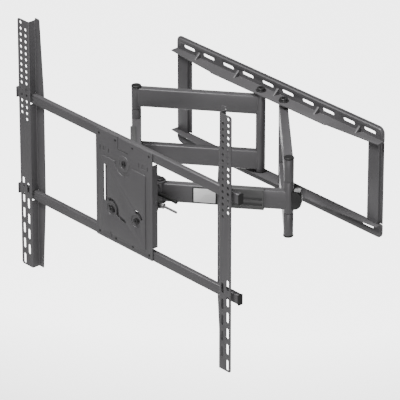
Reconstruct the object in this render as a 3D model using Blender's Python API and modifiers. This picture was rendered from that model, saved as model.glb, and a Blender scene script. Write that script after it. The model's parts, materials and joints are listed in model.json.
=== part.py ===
"""Full motion TV wall mount: slotted wall frame, two folding arms, tilting and levelling head, TV rails.

Frame: X runs along the wall, Y points into the wall, Z is up. The origin is on the wall, at the middle
of the upper slot row. Lengths are in metres.
"""
import bpy
import bmesh
from math import acos, atan2, cos, degrees, pi, radians, sin
from mathutils import Matrix, Vector

# ---------------------------------------------------------------- driving dimensions
SHEET = 0.0025              # pressed steel of the wall frame and the head
CLEAR = 0.0003              # gap between pieces that touch
RUN = 0.0006                # gap between faces that slide past each other

FRAME_WIDTH = 0.744         # wall frame
FRAME_HEIGHT = 0.290
WEB_HEIGHT = 0.0385
SLOT_DROP = 0.022           # from the frame's top edge down to the slot row
SLOT_COUNT = 10
SLOT_PITCH = 0.072
SLOT_LENGTH = 0.040
SLOT_WIDTH = 0.009
FLANGE_END_DEPTH = 0.022
FLANGE_DEPTH = 0.040
FLANGE_DEEP_HALF = 0.205    # half length of the deep middle of the flange
FLANGE_JOG = 0.003          # step in the flange's edge where it grows deep
FRAME_CORNER = 0.016
BEAD_RADIUS = 0.0028
BEAD_DROP = 0.0073          # from the frame's top edge down to the bead
GUSSET = 0.015
GUSSET_RISE = 0.012
GUSSET_THICKNESS = 0.008
STILE_FACE = 0.038
STILE_FOOT = 0.008
STILE_DEPTH = 0.010
STILE_SHEET = 0.002

PIVOT_SPACING = 0.082       # between the two arms' pivots, at the wall and at the head
PIVOT_DEPTH = 0.021         # wall pivots in front of the wall
LINK_LENGTH = 0.306         # between the pivots of every link
REST_ANGLE = radians(39.8)  # of the rear links, from the wall

POST_RADIUS = 0.0118
POST_BORE = 0.0088
AXLE_RADIUS = 0.0050
AXLE_HEAD = 0.0125
AXLE_HEAD_HEIGHT = 0.0080
AXLE_NUT = 0.0119
AXLE_NUT_HEIGHT = 0.0064
BUSH_FLANGE = 0.0018
BUSH_DEPTH = 0.010
BAR_HEIGHT = 0.048
BAR_THICKNESS = 0.021
BAR_WALL = 0.002
ELBOW_HALF = 0.0985         # half height of the whole elbow
ELBOW_MIDDLE = 0.0403       # half height of the front link's share of it
ELBOW_PIN_RADIUS = 0.0060
ELBOW_CAP_HEIGHT = 0.0045
ELBOW_CAP_LIP = 0.0008      # how far a cap stands out past the elbow
FRONT_BAR_HEIGHT = 0.047
FRONT_NOSE = 0.020          # how far the rounded nose stands past the elbow knuckle
COVER_LENGTH = 0.110        # cable cover on the front bar
COVER_START = 0.057
COVER_WALL = 0.0025
NAMEPLATE = (0.056, 0.037)
NAMEPLATE_CENTRE = 0.1975   # from the elbow, along the bar
NAMEPLATE_THICKNESS = 0.0015

HEAD_DROP = 0.007           # the head's middle below the arms' middle
HEAD_KNUCKLE_EXTRA = 0.0015 # how far the head knuckle stands past the bar, above and below
PIN_HEAD_HEIGHT = 0.004
YOKE_EAR = 0.003
YOKE_REACH = 0.030          # from the head pivots to the yoke's back plate
YOKE_CHEEK_INSET = 0.001    # from the yoke's edge to its cheeks
TILT_REACH = 0.050          # from the head pivots to the tilt shaft
TILT_SHAFT_RADIUS = 0.004
TILT_SHAFT_END = 0.158
CHEEK_RADIUS = 0.014
CHEEK_ROOT = 0.020
KNOB_RADIUS = 0.009
KNOB_LENGTH = 0.0445
NUT_RADIUS = 0.0075
NUT_LENGTH = 0.0085
TILT_CHEEK = ((0.014, -0.058, 0.006), (0.030, -0.046, 0.010), (0.031, -0.030, 0.012), (0.0385, -0.006, 0.006),
              (0.0385, 0.010, 0.006), (0.030, 0.022, 0.008), (0.024, 0.044, 0.008))
TILT_CHEEK_ROOT = (-0.060, 0.050)
TILT_CHEEK_SLOTS = ((0.021, 0.030), (0.018, -0.040))
TILT_CHEEK_SLOT = (0.012, 0.006)
GRIP_RADIUS = 0.005
GRIP_SPIGOT = 0.003
GRIP_REACH = 0.0325         # from the tilt shaft towards the wall
GRIP_RISE = 0.003
GRIP_END = 0.1213
TILT_FRAME_HALF_WIDTH = 0.073
TILT_FRAME_TOP = 0.096
TILT_FRAME_BOTTOM = 0.090
TILT_FRAME_CORNER = 0.006

PLATE_REACH = 0.0743        # from the head pivots to the centre plate's back
PLATE_WIDTH = 0.205
PLATE_HEIGHT = 0.279
PLATE_FLANGE = 0.014
PLATE_FLANGE_HALF = 0.107
FIELD_HALF_WIDTH = 0.079    # raised field of the centre plate
FIELD_TOP = 0.0755
FIELD_BOTTOM = 0.120
WINDOW_HALF_WIDTH = 0.0456
WINDOW_BOTTOM = 0.031
TONGUE_RADIUS = 0.051       # the web about the level pivot, which hangs into the window
LOBE_RADIUS = 0.0105        # rounded corner at the window's upper right
LOBE_HEIGHT = 0.034
TAIL_WEB = 0.001            # between a dimple's rim and the window's tails
LEFT_TAIL = ((-0.016, -0.0685), (-0.004, -0.0715), (0.006, -0.0715), (0.0085, -0.0690), (0.0065, -0.0660),
             (-0.003, -0.0625), (-0.0125, -0.0555), (-0.019, -0.046), (-0.0235, -0.037), (-0.0275, -0.031))
RIGHT_TAIL = ((0.0655, -0.0435), (0.0625, -0.0385), (0.0565, -0.0320), (0.0456, -0.0260))
TILT_WINDOW = (-0.033, -0.0105)
LEVEL_PIVOT_HEIGHT = 0.0775
LEVEL_BOLT_SPACING = 0.090
LEVEL_BOLT_DROP = 0.0545
LEVEL_BOLT_RADIUS = 0.004
LEVEL_BOLT_HEAD = 0.0075
LEVEL_BOLT_HEAD_HEIGHT = 0.003
LEVEL_NUT = 0.0065
LEVEL_NUT_HEIGHT = 0.006
LEVEL_SLOT_LENGTH = 0.026
DIMPLE_RADIUS = 0.0165      # round dimples in the field, about the level bolts
DIMPLE_RIM = 0.002
SIDE_SLOT = (0.013, 0.097)
SIDE_SLOT_X = -0.0655
SIDE_SLOT_RISE = 0.0075
RAIL_HOLE_X = (0.031, 0.0905)
RAIL_HOLE_RADIUS = 0.0035

RAIL_LENGTH = 0.802         # TV rails
RAIL_HEIGHT = 0.025
RAIL_DEPTH = 0.012
RAIL_WALL = 0.002
RAIL_SPACING = 0.256
CAP_LENGTH = 0.003
CAP_WALL = 0.0012
CAP_GRIP = 0.012

BRACKET_LENGTH = 0.652      # TV brackets
BRACKET_FACE = 0.0415
BRACKET_WALL = 0.002
BRACKET_X = 0.36425         # middle of a bracket's face
BRACKET_RISE = 0.004        # bracket's middle above the head's
BRACKET_WING_END = 0.016
BRACKET_WING_MIDDLE = 0.028
BRACKET_TIP = 0.006
BRACKET_STANDOFF = 0.0025   # face in front of the centre plate's raised field
HOLE_COUNT = 16
HOLE_PITCH = 0.0156
HOLE_RADIUS = 0.0040
HOLE_COLUMNS = ((0.011, 0.009), (0.029, 0.0235))   # each column's inset from the outer edge and drop
BRACKET_SLOTS = 6
BRACKET_SLOT_PITCH = 0.0412
BRACKET_SLOT_LENGTH = 0.027
BRACKET_SLOT_WIDTH = 0.0085
BRACKET_SLOT_DROPS = (0.429, 0.4405)

ROUND = 20                  # sides of a post or pin
FINE = 8                    # sides of a small hole
UPRIGHT = pi / 2
BEYOND = 0.004              # how far a cutter runs past what it cuts
EDGE = 0.001                # small set-backs and chamfers

# ---------------------------------------------------------------- places worked out from them
Z_ARM = SLOT_DROP - FRAME_HEIGHT / 2
Z_HEAD = Z_ARM - HEAD_DROP
FLANGE_IN = FRAME_HEIGHT / 2 - WEB_HEIGHT
HEAD_KNUCKLE_HALF = FRONT_BAR_HEIGHT / 2 + HEAD_KNUCKLE_EXTRA
PIVOT_X = PIVOT_SPACING / 2
PIVOT_Y = -PIVOT_DEPTH
YOKE_HALF_WIDTH = PIVOT_X + CHEEK_RADIUS
YOKE_CHEEK = YOKE_HALF_WIDTH - YOKE_CHEEK_INSET
TILT_CHEEK_IN = YOKE_HALF_WIDTH + RUN
TILT_CHEEK_OUT = TILT_CHEEK_IN + YOKE_EAR
ELBOW_X = PIVOT_X + LINK_LENGTH * cos(REST_ANGLE)
ELBOW_Y = PIVOT_Y - LINK_LENGTH * sin(REST_ANGLE)
HEAD_Y = PIVOT_Y - 2 * LINK_LENGTH * sin(REST_ANGLE)
TILT_Y = HEAD_Y - TILT_REACH
PLATE_BACK = HEAD_Y - PLATE_REACH
PLATE_FRONT = PLATE_BACK - SHEET
FIELD_FRONT = PLATE_FRONT - SHEET
TILT_FRAME_FRONT = PLATE_BACK + RUN
TILT_FRAME_BACK = TILT_FRAME_FRONT + SHEET
RAIL_FRONT = PLATE_BACK + CLEAR
RAIL_BACK = RAIL_FRONT + RAIL_DEPTH
BRACKET_BACK = RAIL_BACK + RUN
BRACKET_FRONT = FIELD_FRONT - BRACKET_STANDOFF
Z_LEVEL = Z_HEAD + LEVEL_PIVOT_HEIGHT
Z_BRACKET = Z_HEAD + BRACKET_RISE

SIDES = (("left", -1), ("right", 1))


def clear_scene():
    """Empties the scene."""
    for item in list(bpy.data.objects):
        bpy.data.objects.remove(item, do_unlink=True)


def new_collection(name):
    """Adds a collection to the scene."""
    group = bpy.data.collections.new(name)
    bpy.context.scene.collection.children.link(group)
    return group


def new_material(name, colour, roughness, metallic):
    """Makes a Principled material."""
    material = bpy.data.materials.new(name)
    material.use_nodes = True
    shader = material.node_tree.nodes["Principled BSDF"]
    shader.inputs["Base Color"].default_value = (*colour, 1.0)
    shader.inputs["Roughness"].default_value = roughness
    shader.inputs["Metallic"].default_value = metallic
    return material


clear_scene()
PARTS = new_collection("full_motion_tv_wall_mount")
CUTTERS = new_collection("cutters")
BLACK_STEEL = new_material("black_steel", (0.10, 0.10, 0.105), 0.45, 0.6)
BARE_STEEL = new_material("bare_steel", (0.55, 0.55, 0.56), 0.35, 0.9)
BLACK_PLASTIC = new_material("black_plastic", (0.03, 0.03, 0.032), 0.5, 0.0)
WHITE_PLASTIC = new_material("white_plastic", (0.85, 0.85, 0.85), 0.4, 0.0)

# ---------------------------------------------------------------- outlines in a plane


def rectangle(x_low, y_low, x_high, y_high):
    """Corners of a rectangle."""
    return [(x_low, y_low), (x_high, y_low), (x_high, y_high), (x_low, y_high)]


def circle(x, y, radius, sides=FINE):
    """Points of a circle."""
    return [(x + radius * cos(2 * pi * i / sides), y + radius * sin(2 * pi * i / sides))
            for i in range(sides)]


def stadium(x, y, length, width, turn=0.0, sides=FINE):
    """Points of a slot with round ends, turned from the first axis by an angle."""
    reach = (length - width) / 2
    points = []
    for end in (1, -1):
        for i in range(sides // 2 + 1):
            angle = -pi / 2 + pi * i / (sides // 2)
            points.append((end * (reach + width / 2 * cos(angle)), end * width / 2 * sin(angle)))
    return [(x + p * cos(turn) - q * sin(turn), y + p * sin(turn) + q * cos(turn)) for p, q in points]


def rounded(corners, steps=3):
    """Rounds the corners of an outline given as (x, y, radius)."""
    points = []
    count = len(corners)
    for i, (x, y, radius) in enumerate(corners):
        here = Vector((x, y))
        if radius == 0:
            points.append((x, y))
            continue
        before = (Vector(corners[i - 1][:2]) - here).normalized()
        after = (Vector(corners[(i + 1) % count][:2]) - here).normalized()
        half = before.angle(after) / 2
        middle = here + (before + after).normalized() * radius / sin(half)
        start = here + before * radius / (sin(half) / cos(half)) - middle
        finish = here + after * radius / (sin(half) / cos(half)) - middle
        first = atan2(start.y, start.x)
        turn = (atan2(finish.y, finish.x) - first + pi) % (2 * pi) - pi
        for k in range(steps + 1):
            angle = first + turn * k / steps
            points.append((middle.x + radius * cos(angle), middle.y + radius * sin(angle)))
    return points


# ---------------------------------------------------------------- solids

TURN = {
    "front": Matrix.Rotation(pi / 2, 4, "X"),                                  # outline in X and Z
    "side": Matrix(((0, 0, 1, 0), (1, 0, 0, 0), (0, 1, 0, 0), (0, 0, 0, 1))),   # outline in Y and Z
    "level": Matrix.Identity(4),                                               # outline in X and Y
}
NORMAL = {"front": Vector((0, 1, 0)), "side": Vector((1, 0, 0)), "level": Vector((0, 0, 1))}


def add_object(name, mesh, material=None):
    """Puts a mesh in the parts collection."""
    item = bpy.data.objects.new(name, mesh)
    PARTS.objects.link(item)
    if material:
        mesh.materials.append(material)
    return item


def plate(name, outlines, plane, low, high, material=None):
    """A flat plate between two levels; the first outline is its rim and the others are holes."""
    curve = bpy.data.curves.new(name, "CURVE")
    curve.dimensions = "2D"
    curve.fill_mode = "BOTH"
    curve.extrude = (high - low) / 2
    for points in outlines:
        spline = curve.splines.new("POLY")
        spline.points.add(len(points) - 1)
        for point, (x, y) in zip(spline.points, points):
            point.co = (x, y, 0, 1)
        spline.use_cyclic_u = True
    guide = bpy.data.objects.new(name + "_outline", curve)
    PARTS.objects.link(guide)
    guide.matrix_world = Matrix.Translation(NORMAL[plane] * (low + high) / 2) @ TURN[plane]
    bpy.context.view_layer.update()
    evaluated = guide.evaluated_get(bpy.context.evaluated_depsgraph_get())
    mesh = bpy.data.meshes.new_from_object(evaluated)
    mesh.name = name
    shape = bmesh.new()
    shape.from_mesh(mesh)
    bmesh.ops.remove_doubles(shape, verts=shape.verts, dist=1e-6)
    shape.to_mesh(mesh)
    shape.free()
    item = add_object(name, mesh, material)
    item.matrix_world = guide.matrix_world
    bpy.data.objects.remove(guide, do_unlink=True)
    return item


def turned(name, profile, centre, material=None, axis="Z", ring=False, sides=ROUND):
    """A turned piece: a profile of (radius, height) from top to bottom, spun about its axis."""
    mesh = bpy.data.meshes.new(name)
    shape = bmesh.new()
    points = [shape.verts.new((radius, 0, height)) for radius, height in profile]
    for first, second in zip(points, points[1:] + points[:1] if ring else points[1:]):
        shape.edges.new((first, second))
    shape.to_mesh(mesh)
    shape.free()
    item = add_object(name, mesh, material)
    turn = {"Z": Matrix.Identity(4), "X": Matrix.Rotation(pi / 2, 4, "Y"),
            "Y": Matrix.Rotation(-pi / 2, 4, "X")}[axis]
    item.matrix_world = Matrix.Translation(centre) @ turn
    spin = item.modifiers.new("Spin", "SCREW")
    spin.steps = sides
    spin.render_steps = sides
    spin.use_merge_vertices = True
    spin.merge_threshold = 0.00001
    spin.use_smooth_shade = False
    return item


def rod(name, radius, low, high, centre, material=None, axis="Z", sides=ROUND):
    """A plain round bar with a small chamfer at both ends."""
    edge = min(radius, high - low) * 0.12
    profile = [(0, high), (radius - edge, high), (radius, high - edge),
               (radius, low + edge), (radius - edge, low), (0, low)]
    return turned(name, profile, centre, material, axis, sides=sides)


def sleeve(name, outer, inner, low, high, centre, material=None, axis="Z"):
    """A round tube."""
    profile = [(outer, high), (outer, low), (inner, low), (inner, high)]
    return turned(name, profile, centre, material, axis, ring=True)


def box(name, low, high, material=None):
    """A box between two corners."""
    mesh = bpy.data.meshes.new(name)
    shape = bmesh.new()
    bmesh.ops.create_cube(shape, size=1)
    low, high = Vector(low), Vector(high)
    for vertex in shape.verts:
        vertex.co = Vector((low[i] + (vertex.co[i] + 0.5) * (high[i] - low[i]) for i in range(3)))
    shape.to_mesh(mesh)
    shape.free()
    return add_object(name, mesh, material)


def combine(target, tool, operation):
    """Joins a tool to a piece, or cuts the piece with it."""
    boolean = target.modifiers.new(tool.name, "BOOLEAN")
    boolean.operation = operation
    boolean.solver = "EXACT"
    boolean.object = tool
    PARTS.objects.unlink(tool)
    CUTTERS.objects.link(tool)
    tool.hide_render = True
    tool.display_type = "WIRE"


def fuse(target, *tools):
    """Joins solids into one piece."""
    for tool in tools:
        combine(target, tool, "UNION")
    return target


def carve(target, *tools):
    """Cuts solids out of a piece."""
    for tool in tools:
        combine(target, tool, "DIFFERENCE")
    return target


def axis_empty(name, place):
    """An empty on a joint's axis, for the pieces that move about it."""
    empty = bpy.data.objects.new(name, None)
    empty.empty_display_size = 0.03
    empty.location = place
    PARTS.objects.link(empty)
    bpy.context.view_layer.update()
    return empty


def ride(empty, *pieces):
    """Parents pieces to an empty and leaves them where they are."""
    for piece in pieces:
        piece.parent = empty
        piece.matrix_parent_inverse = empty.matrix_world.inverted()


# ---------------------------------------------------------------- wall frame


def wall_rail(name, up):
    """A pressed rail: slotted web on the wall, flange towards the room, a bead and five gussets."""
    def height(from_middle):
        return Z_ARM + up * from_middle

    half = FRAME_WIDTH / 2
    top = FRAME_HEIGHT / 2
    low, high = sorted((height(FLANGE_IN), height(top)))
    low_corner, high_corner = (0, FRAME_CORNER) if up > 0 else (FRAME_CORNER, 0)
    rim = [(-half, low, low_corner), (half, low, low_corner),
           (half, high, high_corner), (-half, high, high_corner)]
    first = -(SLOT_COUNT - 1) / 2 * SLOT_PITCH
    slots = [stadium(first + i * SLOT_PITCH, height(top - SLOT_DROP), SLOT_LENGTH, SLOT_WIDTH)
             for i in range(SLOT_COUNT)]
    rail = plate(name, [rounded(rim), *slots], "front", -SHEET, 0, BLACK_STEEL)

    deep = min(FLANGE_DEEP_HALF, half * 0.9)
    front = [(half, -FLANGE_END_DEPTH), (deep + FLANGE_JOG, FLANGE_JOG - FLANGE_DEPTH), (deep, -FLANGE_DEPTH)]
    outline = [(-half, -SHEET / 2), *[(-x, y) for x, y in front], *reversed(front), (half, -SHEET / 2)]
    holes = [circle(sign * PIVOT_X, PIVOT_Y, AXLE_RADIUS + CLEAR, ROUND) for _, sign in SIDES]
    low, high = sorted((height(FLANGE_IN), height(FLANGE_IN + SHEET)))
    flange = plate(name + "_flange", [outline, *holes], "level", low, high)

    reach = half - FRAME_CORNER
    bead = rod(name + "_bead", BEAD_RADIUS, -reach, reach, (0, -SHEET, height(top - BEAD_DROP)),
               axis="X", sides=FINE)
    gussets = []
    for i in range(SLOT_COUNT // 2):
        x = (2 * i - (SLOT_COUNT - 2) / 2) * SLOT_PITCH
        root = height(FLANGE_IN + SHEET / 2)
        wedge = [(-SHEET / 2, root), (-SHEET - GUSSET, root), (-SHEET / 2, root + up * GUSSET_RISE)]
        gussets.append(plate(f"{name}_gusset_{i + 1}", [wedge], "side", x - GUSSET_THICKNESS / 2,
                             x + GUSSET_THICKNESS / 2))
    return fuse(rail, flange, bead, *gussets)


def wall_stile(name, sign):
    """An upright of hat section between the two rails."""
    outer = FRAME_WIDTH / 2 - CLEAR
    xs = [outer, outer - STILE_FOOT, outer - STILE_FOOT - STILE_FACE, outer - 2 * STILE_FOOT - STILE_FACE]
    t = STILE_SHEET
    face = -STILE_DEPTH
    half = [(xs[0], 0), (xs[0], -t), (xs[1], -t), (xs[1], face), (xs[2], face), (xs[2], -t), (xs[3], -t),
            (xs[3], 0), (xs[2] + t, 0), (xs[2] + t, face + t), (xs[1] - t, face + t), (xs[1] - t, 0)]
    outline = [(sign * x, y) for x, y in half]
    reach = FLANGE_IN - CLEAR
    return plate(name, [outline], "level", Z_ARM - reach, Z_ARM + reach, BLACK_STEEL)


def wall_axle(side, sign):
    """A long bolt through both flanges, and its nut."""
    place = (sign * PIVOT_X, PIVOT_Y, Z_ARM)
    outside = FLANGE_IN + SHEET + CLEAR
    r, head = AXLE_RADIUS, AXLE_HEAD
    top = outside + AXLE_HEAD_HEIGHT
    end = outside + AXLE_HEAD_HEIGHT + 2 * EDGE
    turned(f"wall_axle_{side}",
           [(0, top), (head - 2 * EDGE, top), (head, top - 2 * EDGE), (head, outside), (r, outside),
            (r, -end), (0, -end)],
           place, BLACK_STEEL)
    sleeve(f"wall_axle_nut_{side}", AXLE_NUT, r + CLEAR, -outside - AXLE_NUT_HEIGHT, -outside,
           place, BLACK_STEEL)


def wall_bushes(side, sign):
    """A flanged bush in each end of the wall post."""
    low = FLANGE_IN - CLEAR - BUSH_FLANGE
    inner = AXLE_RADIUS + CLEAR
    outer = POST_BORE - CLEAR
    bushes = []
    for level, up in (("top", 1), ("bottom", -1)):
        profile = [(POST_RADIUS, low + BUSH_FLANGE), (POST_RADIUS, low), (outer, low),
                   (outer, low - BUSH_DEPTH), (inner, low - BUSH_DEPTH), (inner, low + BUSH_FLANGE)]
        if up < 0:
            profile = [(radius, -height) for radius, height in reversed(profile)]
        bushes.append(turned(f"wall_bush_{side}_{level}", profile, (sign * PIVOT_X, PIVOT_Y, Z_ARM),
                             BLACK_PLASTIC, ring=True))
    return bushes


# ---------------------------------------------------------------- arms


def link_bar(name, start, end, low, high, material=BLACK_STEEL):
    """A rectangular tube between two posts, its ends cut to fit round them."""
    start, end = Vector(start), Vector(end)
    length = (end - start).length
    half = BAR_THICKNESS / 2
    bar = box(name, (0, -half, low), (length, half, high), material)
    inside = box(name + "_bore", (-EDGE, BAR_WALL - half, low + BAR_WALL),
                 (length + EDGE, half - BAR_WALL, high - BAR_WALL))
    ends = [rod(f"{name}_end_{k}", POST_RADIUS + CLEAR, low - BEYOND, high + BEYOND, (x, 0, 0))
            for k, x in enumerate((0, length))]
    carve(bar, inside, *ends)
    place = Matrix.Translation((start.x, start.y, 0)) @ Matrix.Rotation(
        atan2(end.y - start.y, end.x - start.x), 4, "Z")
    for piece in (bar, inside, *ends):
        piece.matrix_world = place @ piece.matrix_world
    return bar


def rear_link(side, sign):
    """Wall post, two bars and the two outer knuckles of the elbow."""
    wall = (sign * PIVOT_X, PIVOT_Y)
    elbow = (sign * ELBOW_X, ELBOW_Y)
    half = FLANGE_IN - BUSH_FLANGE - 2 * CLEAR
    post = sleeve(f"rear_post_{side}", POST_RADIUS, POST_BORE, -half, half, (*wall, Z_ARM), BLACK_STEEL)
    pieces = [post]
    inner = ELBOW_MIDDLE + RUN
    reach = ELBOW_HALF - EDGE
    for level, up in (("upper", 1), ("lower", -1)):
        low, high = sorted((Z_ARM + up * reach, Z_ARM + up * (reach - BAR_HEIGHT)))
        pieces.append(link_bar(f"rear_{level}_bar_{side}", wall, elbow, low, high))
        low, high = sorted((up * ELBOW_HALF, up * inner))
        pieces.append(sleeve(f"elbow_{level}_knuckle_{side}", POST_RADIUS, ELBOW_PIN_RADIUS + RUN, low, high,
                             (*elbow, Z_ARM), BLACK_STEEL))
        base = ELBOW_HALF + CLEAR
        rim = POST_RADIUS + ELBOW_CAP_LIP
        cap = [(0, base + ELBOW_CAP_HEIGHT), (rim - ELBOW_CAP_HEIGHT, base + ELBOW_CAP_HEIGHT),
               (rim, base + ELBOW_CAP_HEIGHT / 2), (rim, base), (0, base)]
        if up < 0:
            cap = [(radius, -height) for radius, height in reversed(cap)]
        pieces.append(turned(f"elbow_{level}_cap_{side}", cap, (*elbow, Z_ARM), BLACK_PLASTIC))
    pieces.append(rod(f"elbow_pin_{side}", ELBOW_PIN_RADIUS, -reach, reach, (*elbow, Z_ARM), BARE_STEEL))
    return pieces


def front_link(side, sign):
    """Middle knuckle of the elbow, bar, head knuckle, rounded nose and cable cover."""
    elbow = (sign * ELBOW_X, ELBOW_Y)
    head = (sign * PIVOT_X, HEAD_Y)
    heading = atan2(head[1] - elbow[1], head[0] - elbow[0])
    half = FRONT_BAR_HEIGHT / 2
    bore = ELBOW_PIN_RADIUS + RUN
    knuckle = sleeve(f"front_elbow_knuckle_{side}", POST_RADIUS, bore, -ELBOW_MIDDLE, ELBOW_MIDDLE,
                     (*elbow, Z_ARM), BLACK_STEEL)
    tip = sleeve(f"front_head_knuckle_{side}", POST_RADIUS, bore, -HEAD_KNUCKLE_HALF, HEAD_KNUCKLE_HALF,
                 (*head, Z_HEAD), BLACK_STEEL)
    bar = link_bar(f"front_bar_{side}", elbow, head, Z_HEAD - half, Z_HEAD + half)

    reach = POST_RADIUS + FRONT_NOSE
    tall = half - EDGE
    nose_outline = rounded([(0, -tall, 0), (0, tall, 0), (-reach, tall, FRONT_NOSE),
                            (-reach, -tall, FRONT_NOSE)], steps=5)
    depth = BAR_THICKNESS / 2 - EDGE
    nose = plate(f"front_nose_{side}", [nose_outline], "front", -depth, depth, BLACK_PLASTIC)
    nose_cut = rod(f"front_nose_cut_{side}", POST_RADIUS + CLEAR, -half - BEYOND, half + BEYOND, (0, 0, 0))
    carve(nose, nose_cut)

    face = sign * (BAR_THICKNESS / 2 + CLEAR)      # the bar's room side, in the link's own frame
    outer = sign * (BAR_THICKNESS / 2 + CLEAR + COVER_WALL * 2)
    lip = sign * (BAR_THICKNESS * 0.1)
    edge = half + CLEAR
    rim = edge + COVER_WALL
    section = [(lip, edge), (lip, rim), (outer, rim), (outer, -rim), (lip, -rim), (lip, -edge), (face, -edge),
               (face, edge)]
    cover = plate(f"cable_cover_{side}", [section], "side", COVER_START, COVER_START + COVER_LENGTH,
                  BLACK_PLASTIC)
    pieces = [nose, cover]
    moved = [nose, nose_cut, cover]
    if side == "right":
        width, tall = NAMEPLATE
        x = NAMEPLATE_CENTRE
        corners = [(x + a * width / 2, b * tall / 2, 0.004) for a, b in ((-1, -1), (1, -1), (1, 1), (-1, 1))]
        low, high = sorted((face, face + sign * NAMEPLATE_THICKNESS))
        blank = plate("nameplate_blank", [rounded(corners)], "front", low, high, WHITE_PLASTIC)
        pieces.append(blank)
        moved.append(blank)
    place = Matrix.Translation((*elbow, Z_HEAD)) @ Matrix.Rotation(heading, 4, "Z")
    for piece in moved:
        piece.matrix_world = place @ piece.matrix_world
    return [knuckle, tip, bar, *pieces]


# ---------------------------------------------------------------- head


def pivot_yoke():
    """Two ears that hold both head pivots, a back plate, and two cheeks for the tilt shaft."""
    ear_in = HEAD_KNUCKLE_HALF + RUN
    ear_out = ear_in + YOKE_EAR
    back = HEAD_Y - YOKE_REACH
    reach = YOKE_HALF_WIDTH
    corner = CHEEK_RADIUS - EDGE
    end = HEAD_Y + CHEEK_RADIUS
    front = back - YOKE_EAR
    section = [(front, -ear_out), (end, -ear_out), (end, -ear_in), (back, -ear_in),
               (back, ear_in), (end, ear_in), (end, ear_out), (front, ear_out)]
    channel = [(y, Z_HEAD + z) for y, z in section]
    yoke = plate("pivot_yoke", [channel], "side", -reach, reach, BLACK_STEEL)
    rounds = [[(sign * (reach - corner * (1 - cos(a))), end - corner * (1 - sin(a)))
               for a in (UPRIGHT * i / 6 for i in range(7))]
              + [(sign * (reach - corner), end + BEYOND), (sign * (reach + BEYOND), end + BEYOND),
                 (sign * (reach + BEYOND), end - corner)] for _, sign in SIDES]
    holes = [circle(sign * PIVOT_X, HEAD_Y, ELBOW_PIN_RADIUS + CLEAR, ROUND) for _, sign in SIDES]
    through = ear_out + BEYOND
    cutter = plate("yoke_cutter", [*rounds, *holes], "level", Z_HEAD - through, Z_HEAD + through)
    carve(yoke, cutter)
    root = back - YOKE_EAR / 2
    cheeks = [plate(f"yoke_cheek_{side}", cheek_outline(root), "side",
                    *sorted((sign * YOKE_CHEEK, sign * (YOKE_CHEEK - YOKE_EAR)))) for side, sign in SIDES]
    return fuse(yoke, *cheeks)


def cheek_outline(root):
    """Side view of a yoke cheek: straight at its root, round about the tilt shaft, with the shaft's hole."""
    arc = [(TILT_Y - CHEEK_RADIUS * cos(a), Z_HEAD + CHEEK_RADIUS * sin(a))
           for a in (pi * (i / 8 - 0.5) for i in range(9))]
    rim = [(root, Z_HEAD - CHEEK_ROOT), *arc, (root, Z_HEAD + CHEEK_ROOT)]
    return [rim, circle(TILT_Y, Z_HEAD, TILT_SHAFT_RADIUS + CLEAR, ROUND)]


def tilt_cheek_outline(root):
    """Side view of a tilt cheek, with the holes for the shaft and the grip and its two slots."""
    low, high = TILT_CHEEK_ROOT
    corners = [(TILT_Y + y, Z_HEAD + z, r) for y, z, r in TILT_CHEEK]
    rim = [(root, Z_HEAD + low, 0), *corners, (root, Z_HEAD + high, 0)]
    holes = [circle(TILT_Y, Z_HEAD, TILT_SHAFT_RADIUS + CLEAR, ROUND),
             circle(TILT_Y + GRIP_REACH, Z_HEAD + GRIP_RISE, GRIP_SPIGOT + CLEAR, ROUND)]
    slots = [stadium(TILT_Y + y, Z_HEAD + z, *TILT_CHEEK_SLOT, turn=UPRIGHT) for y, z in TILT_CHEEK_SLOTS]
    return [rounded(rim), *holes, *slots]


def head_axle(side, sign):
    """Pin through the yoke's ears and the front link's knuckle, with a round head on both ends."""
    top = HEAD_KNUCKLE_HALF + RUN + YOKE_EAR + CLEAR
    r = ELBOW_PIN_RADIUS
    head = POST_RADIUS - EDGE
    end = top + PIN_HEAD_HEIGHT
    profile = [(0, end), (head - EDGE, end), (head, end - EDGE), (head, top), (r, top),
               (r, -top), (head, -top), (head, EDGE - end), (head - EDGE, -end), (0, -end)]
    return turned(f"head_axle_{side}", profile, (sign * PIVOT_X, HEAD_Y, Z_HEAD), BLACK_STEEL)


def tilt_frame():
    """Plate behind the centre plate, with a window and two cheeks on the tilt shaft."""
    width, low, high = TILT_FRAME_HALF_WIDTH, Z_HEAD - TILT_FRAME_BOTTOM, Z_HEAD + TILT_FRAME_TOP
    rim = rounded([(-width, low, TILT_FRAME_CORNER), (width, low, TILT_FRAME_CORNER),
                   (width, high, TILT_FRAME_CORNER), (-width, high, TILT_FRAME_CORNER)])
    reach = WINDOW_HALF_WIDTH + SHEET
    window = rectangle(-reach, Z_HEAD + TILT_WINDOW[0], reach, Z_HEAD + TILT_WINDOW[1])
    bolts = [circle(x, z, LEVEL_BOLT_RADIUS + CLEAR, ROUND) for x, z in level_bolt_places()]
    frame = plate("tilt_frame", [rim, window, *bolts], "front", TILT_FRAME_FRONT, TILT_FRAME_BACK,
                  BLACK_STEEL)
    cheeks = [plate(f"tilt_cheek_{side}", tilt_cheek_outline(TILT_FRAME_BACK - SHEET / 2), "side",
                    *sorted((sign * TILT_CHEEK_IN, sign * TILT_CHEEK_OUT))) for side, sign in SIDES]
    return fuse(frame, *cheeks)


def level_bolt_places():
    """The level pivot above, and the two level bolts below it."""
    x = LEVEL_BOLT_SPACING / 2
    return [(0, Z_LEVEL), (-x, Z_HEAD - LEVEL_BOLT_DROP), (x, Z_HEAD - LEVEL_BOLT_DROP)]


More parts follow.
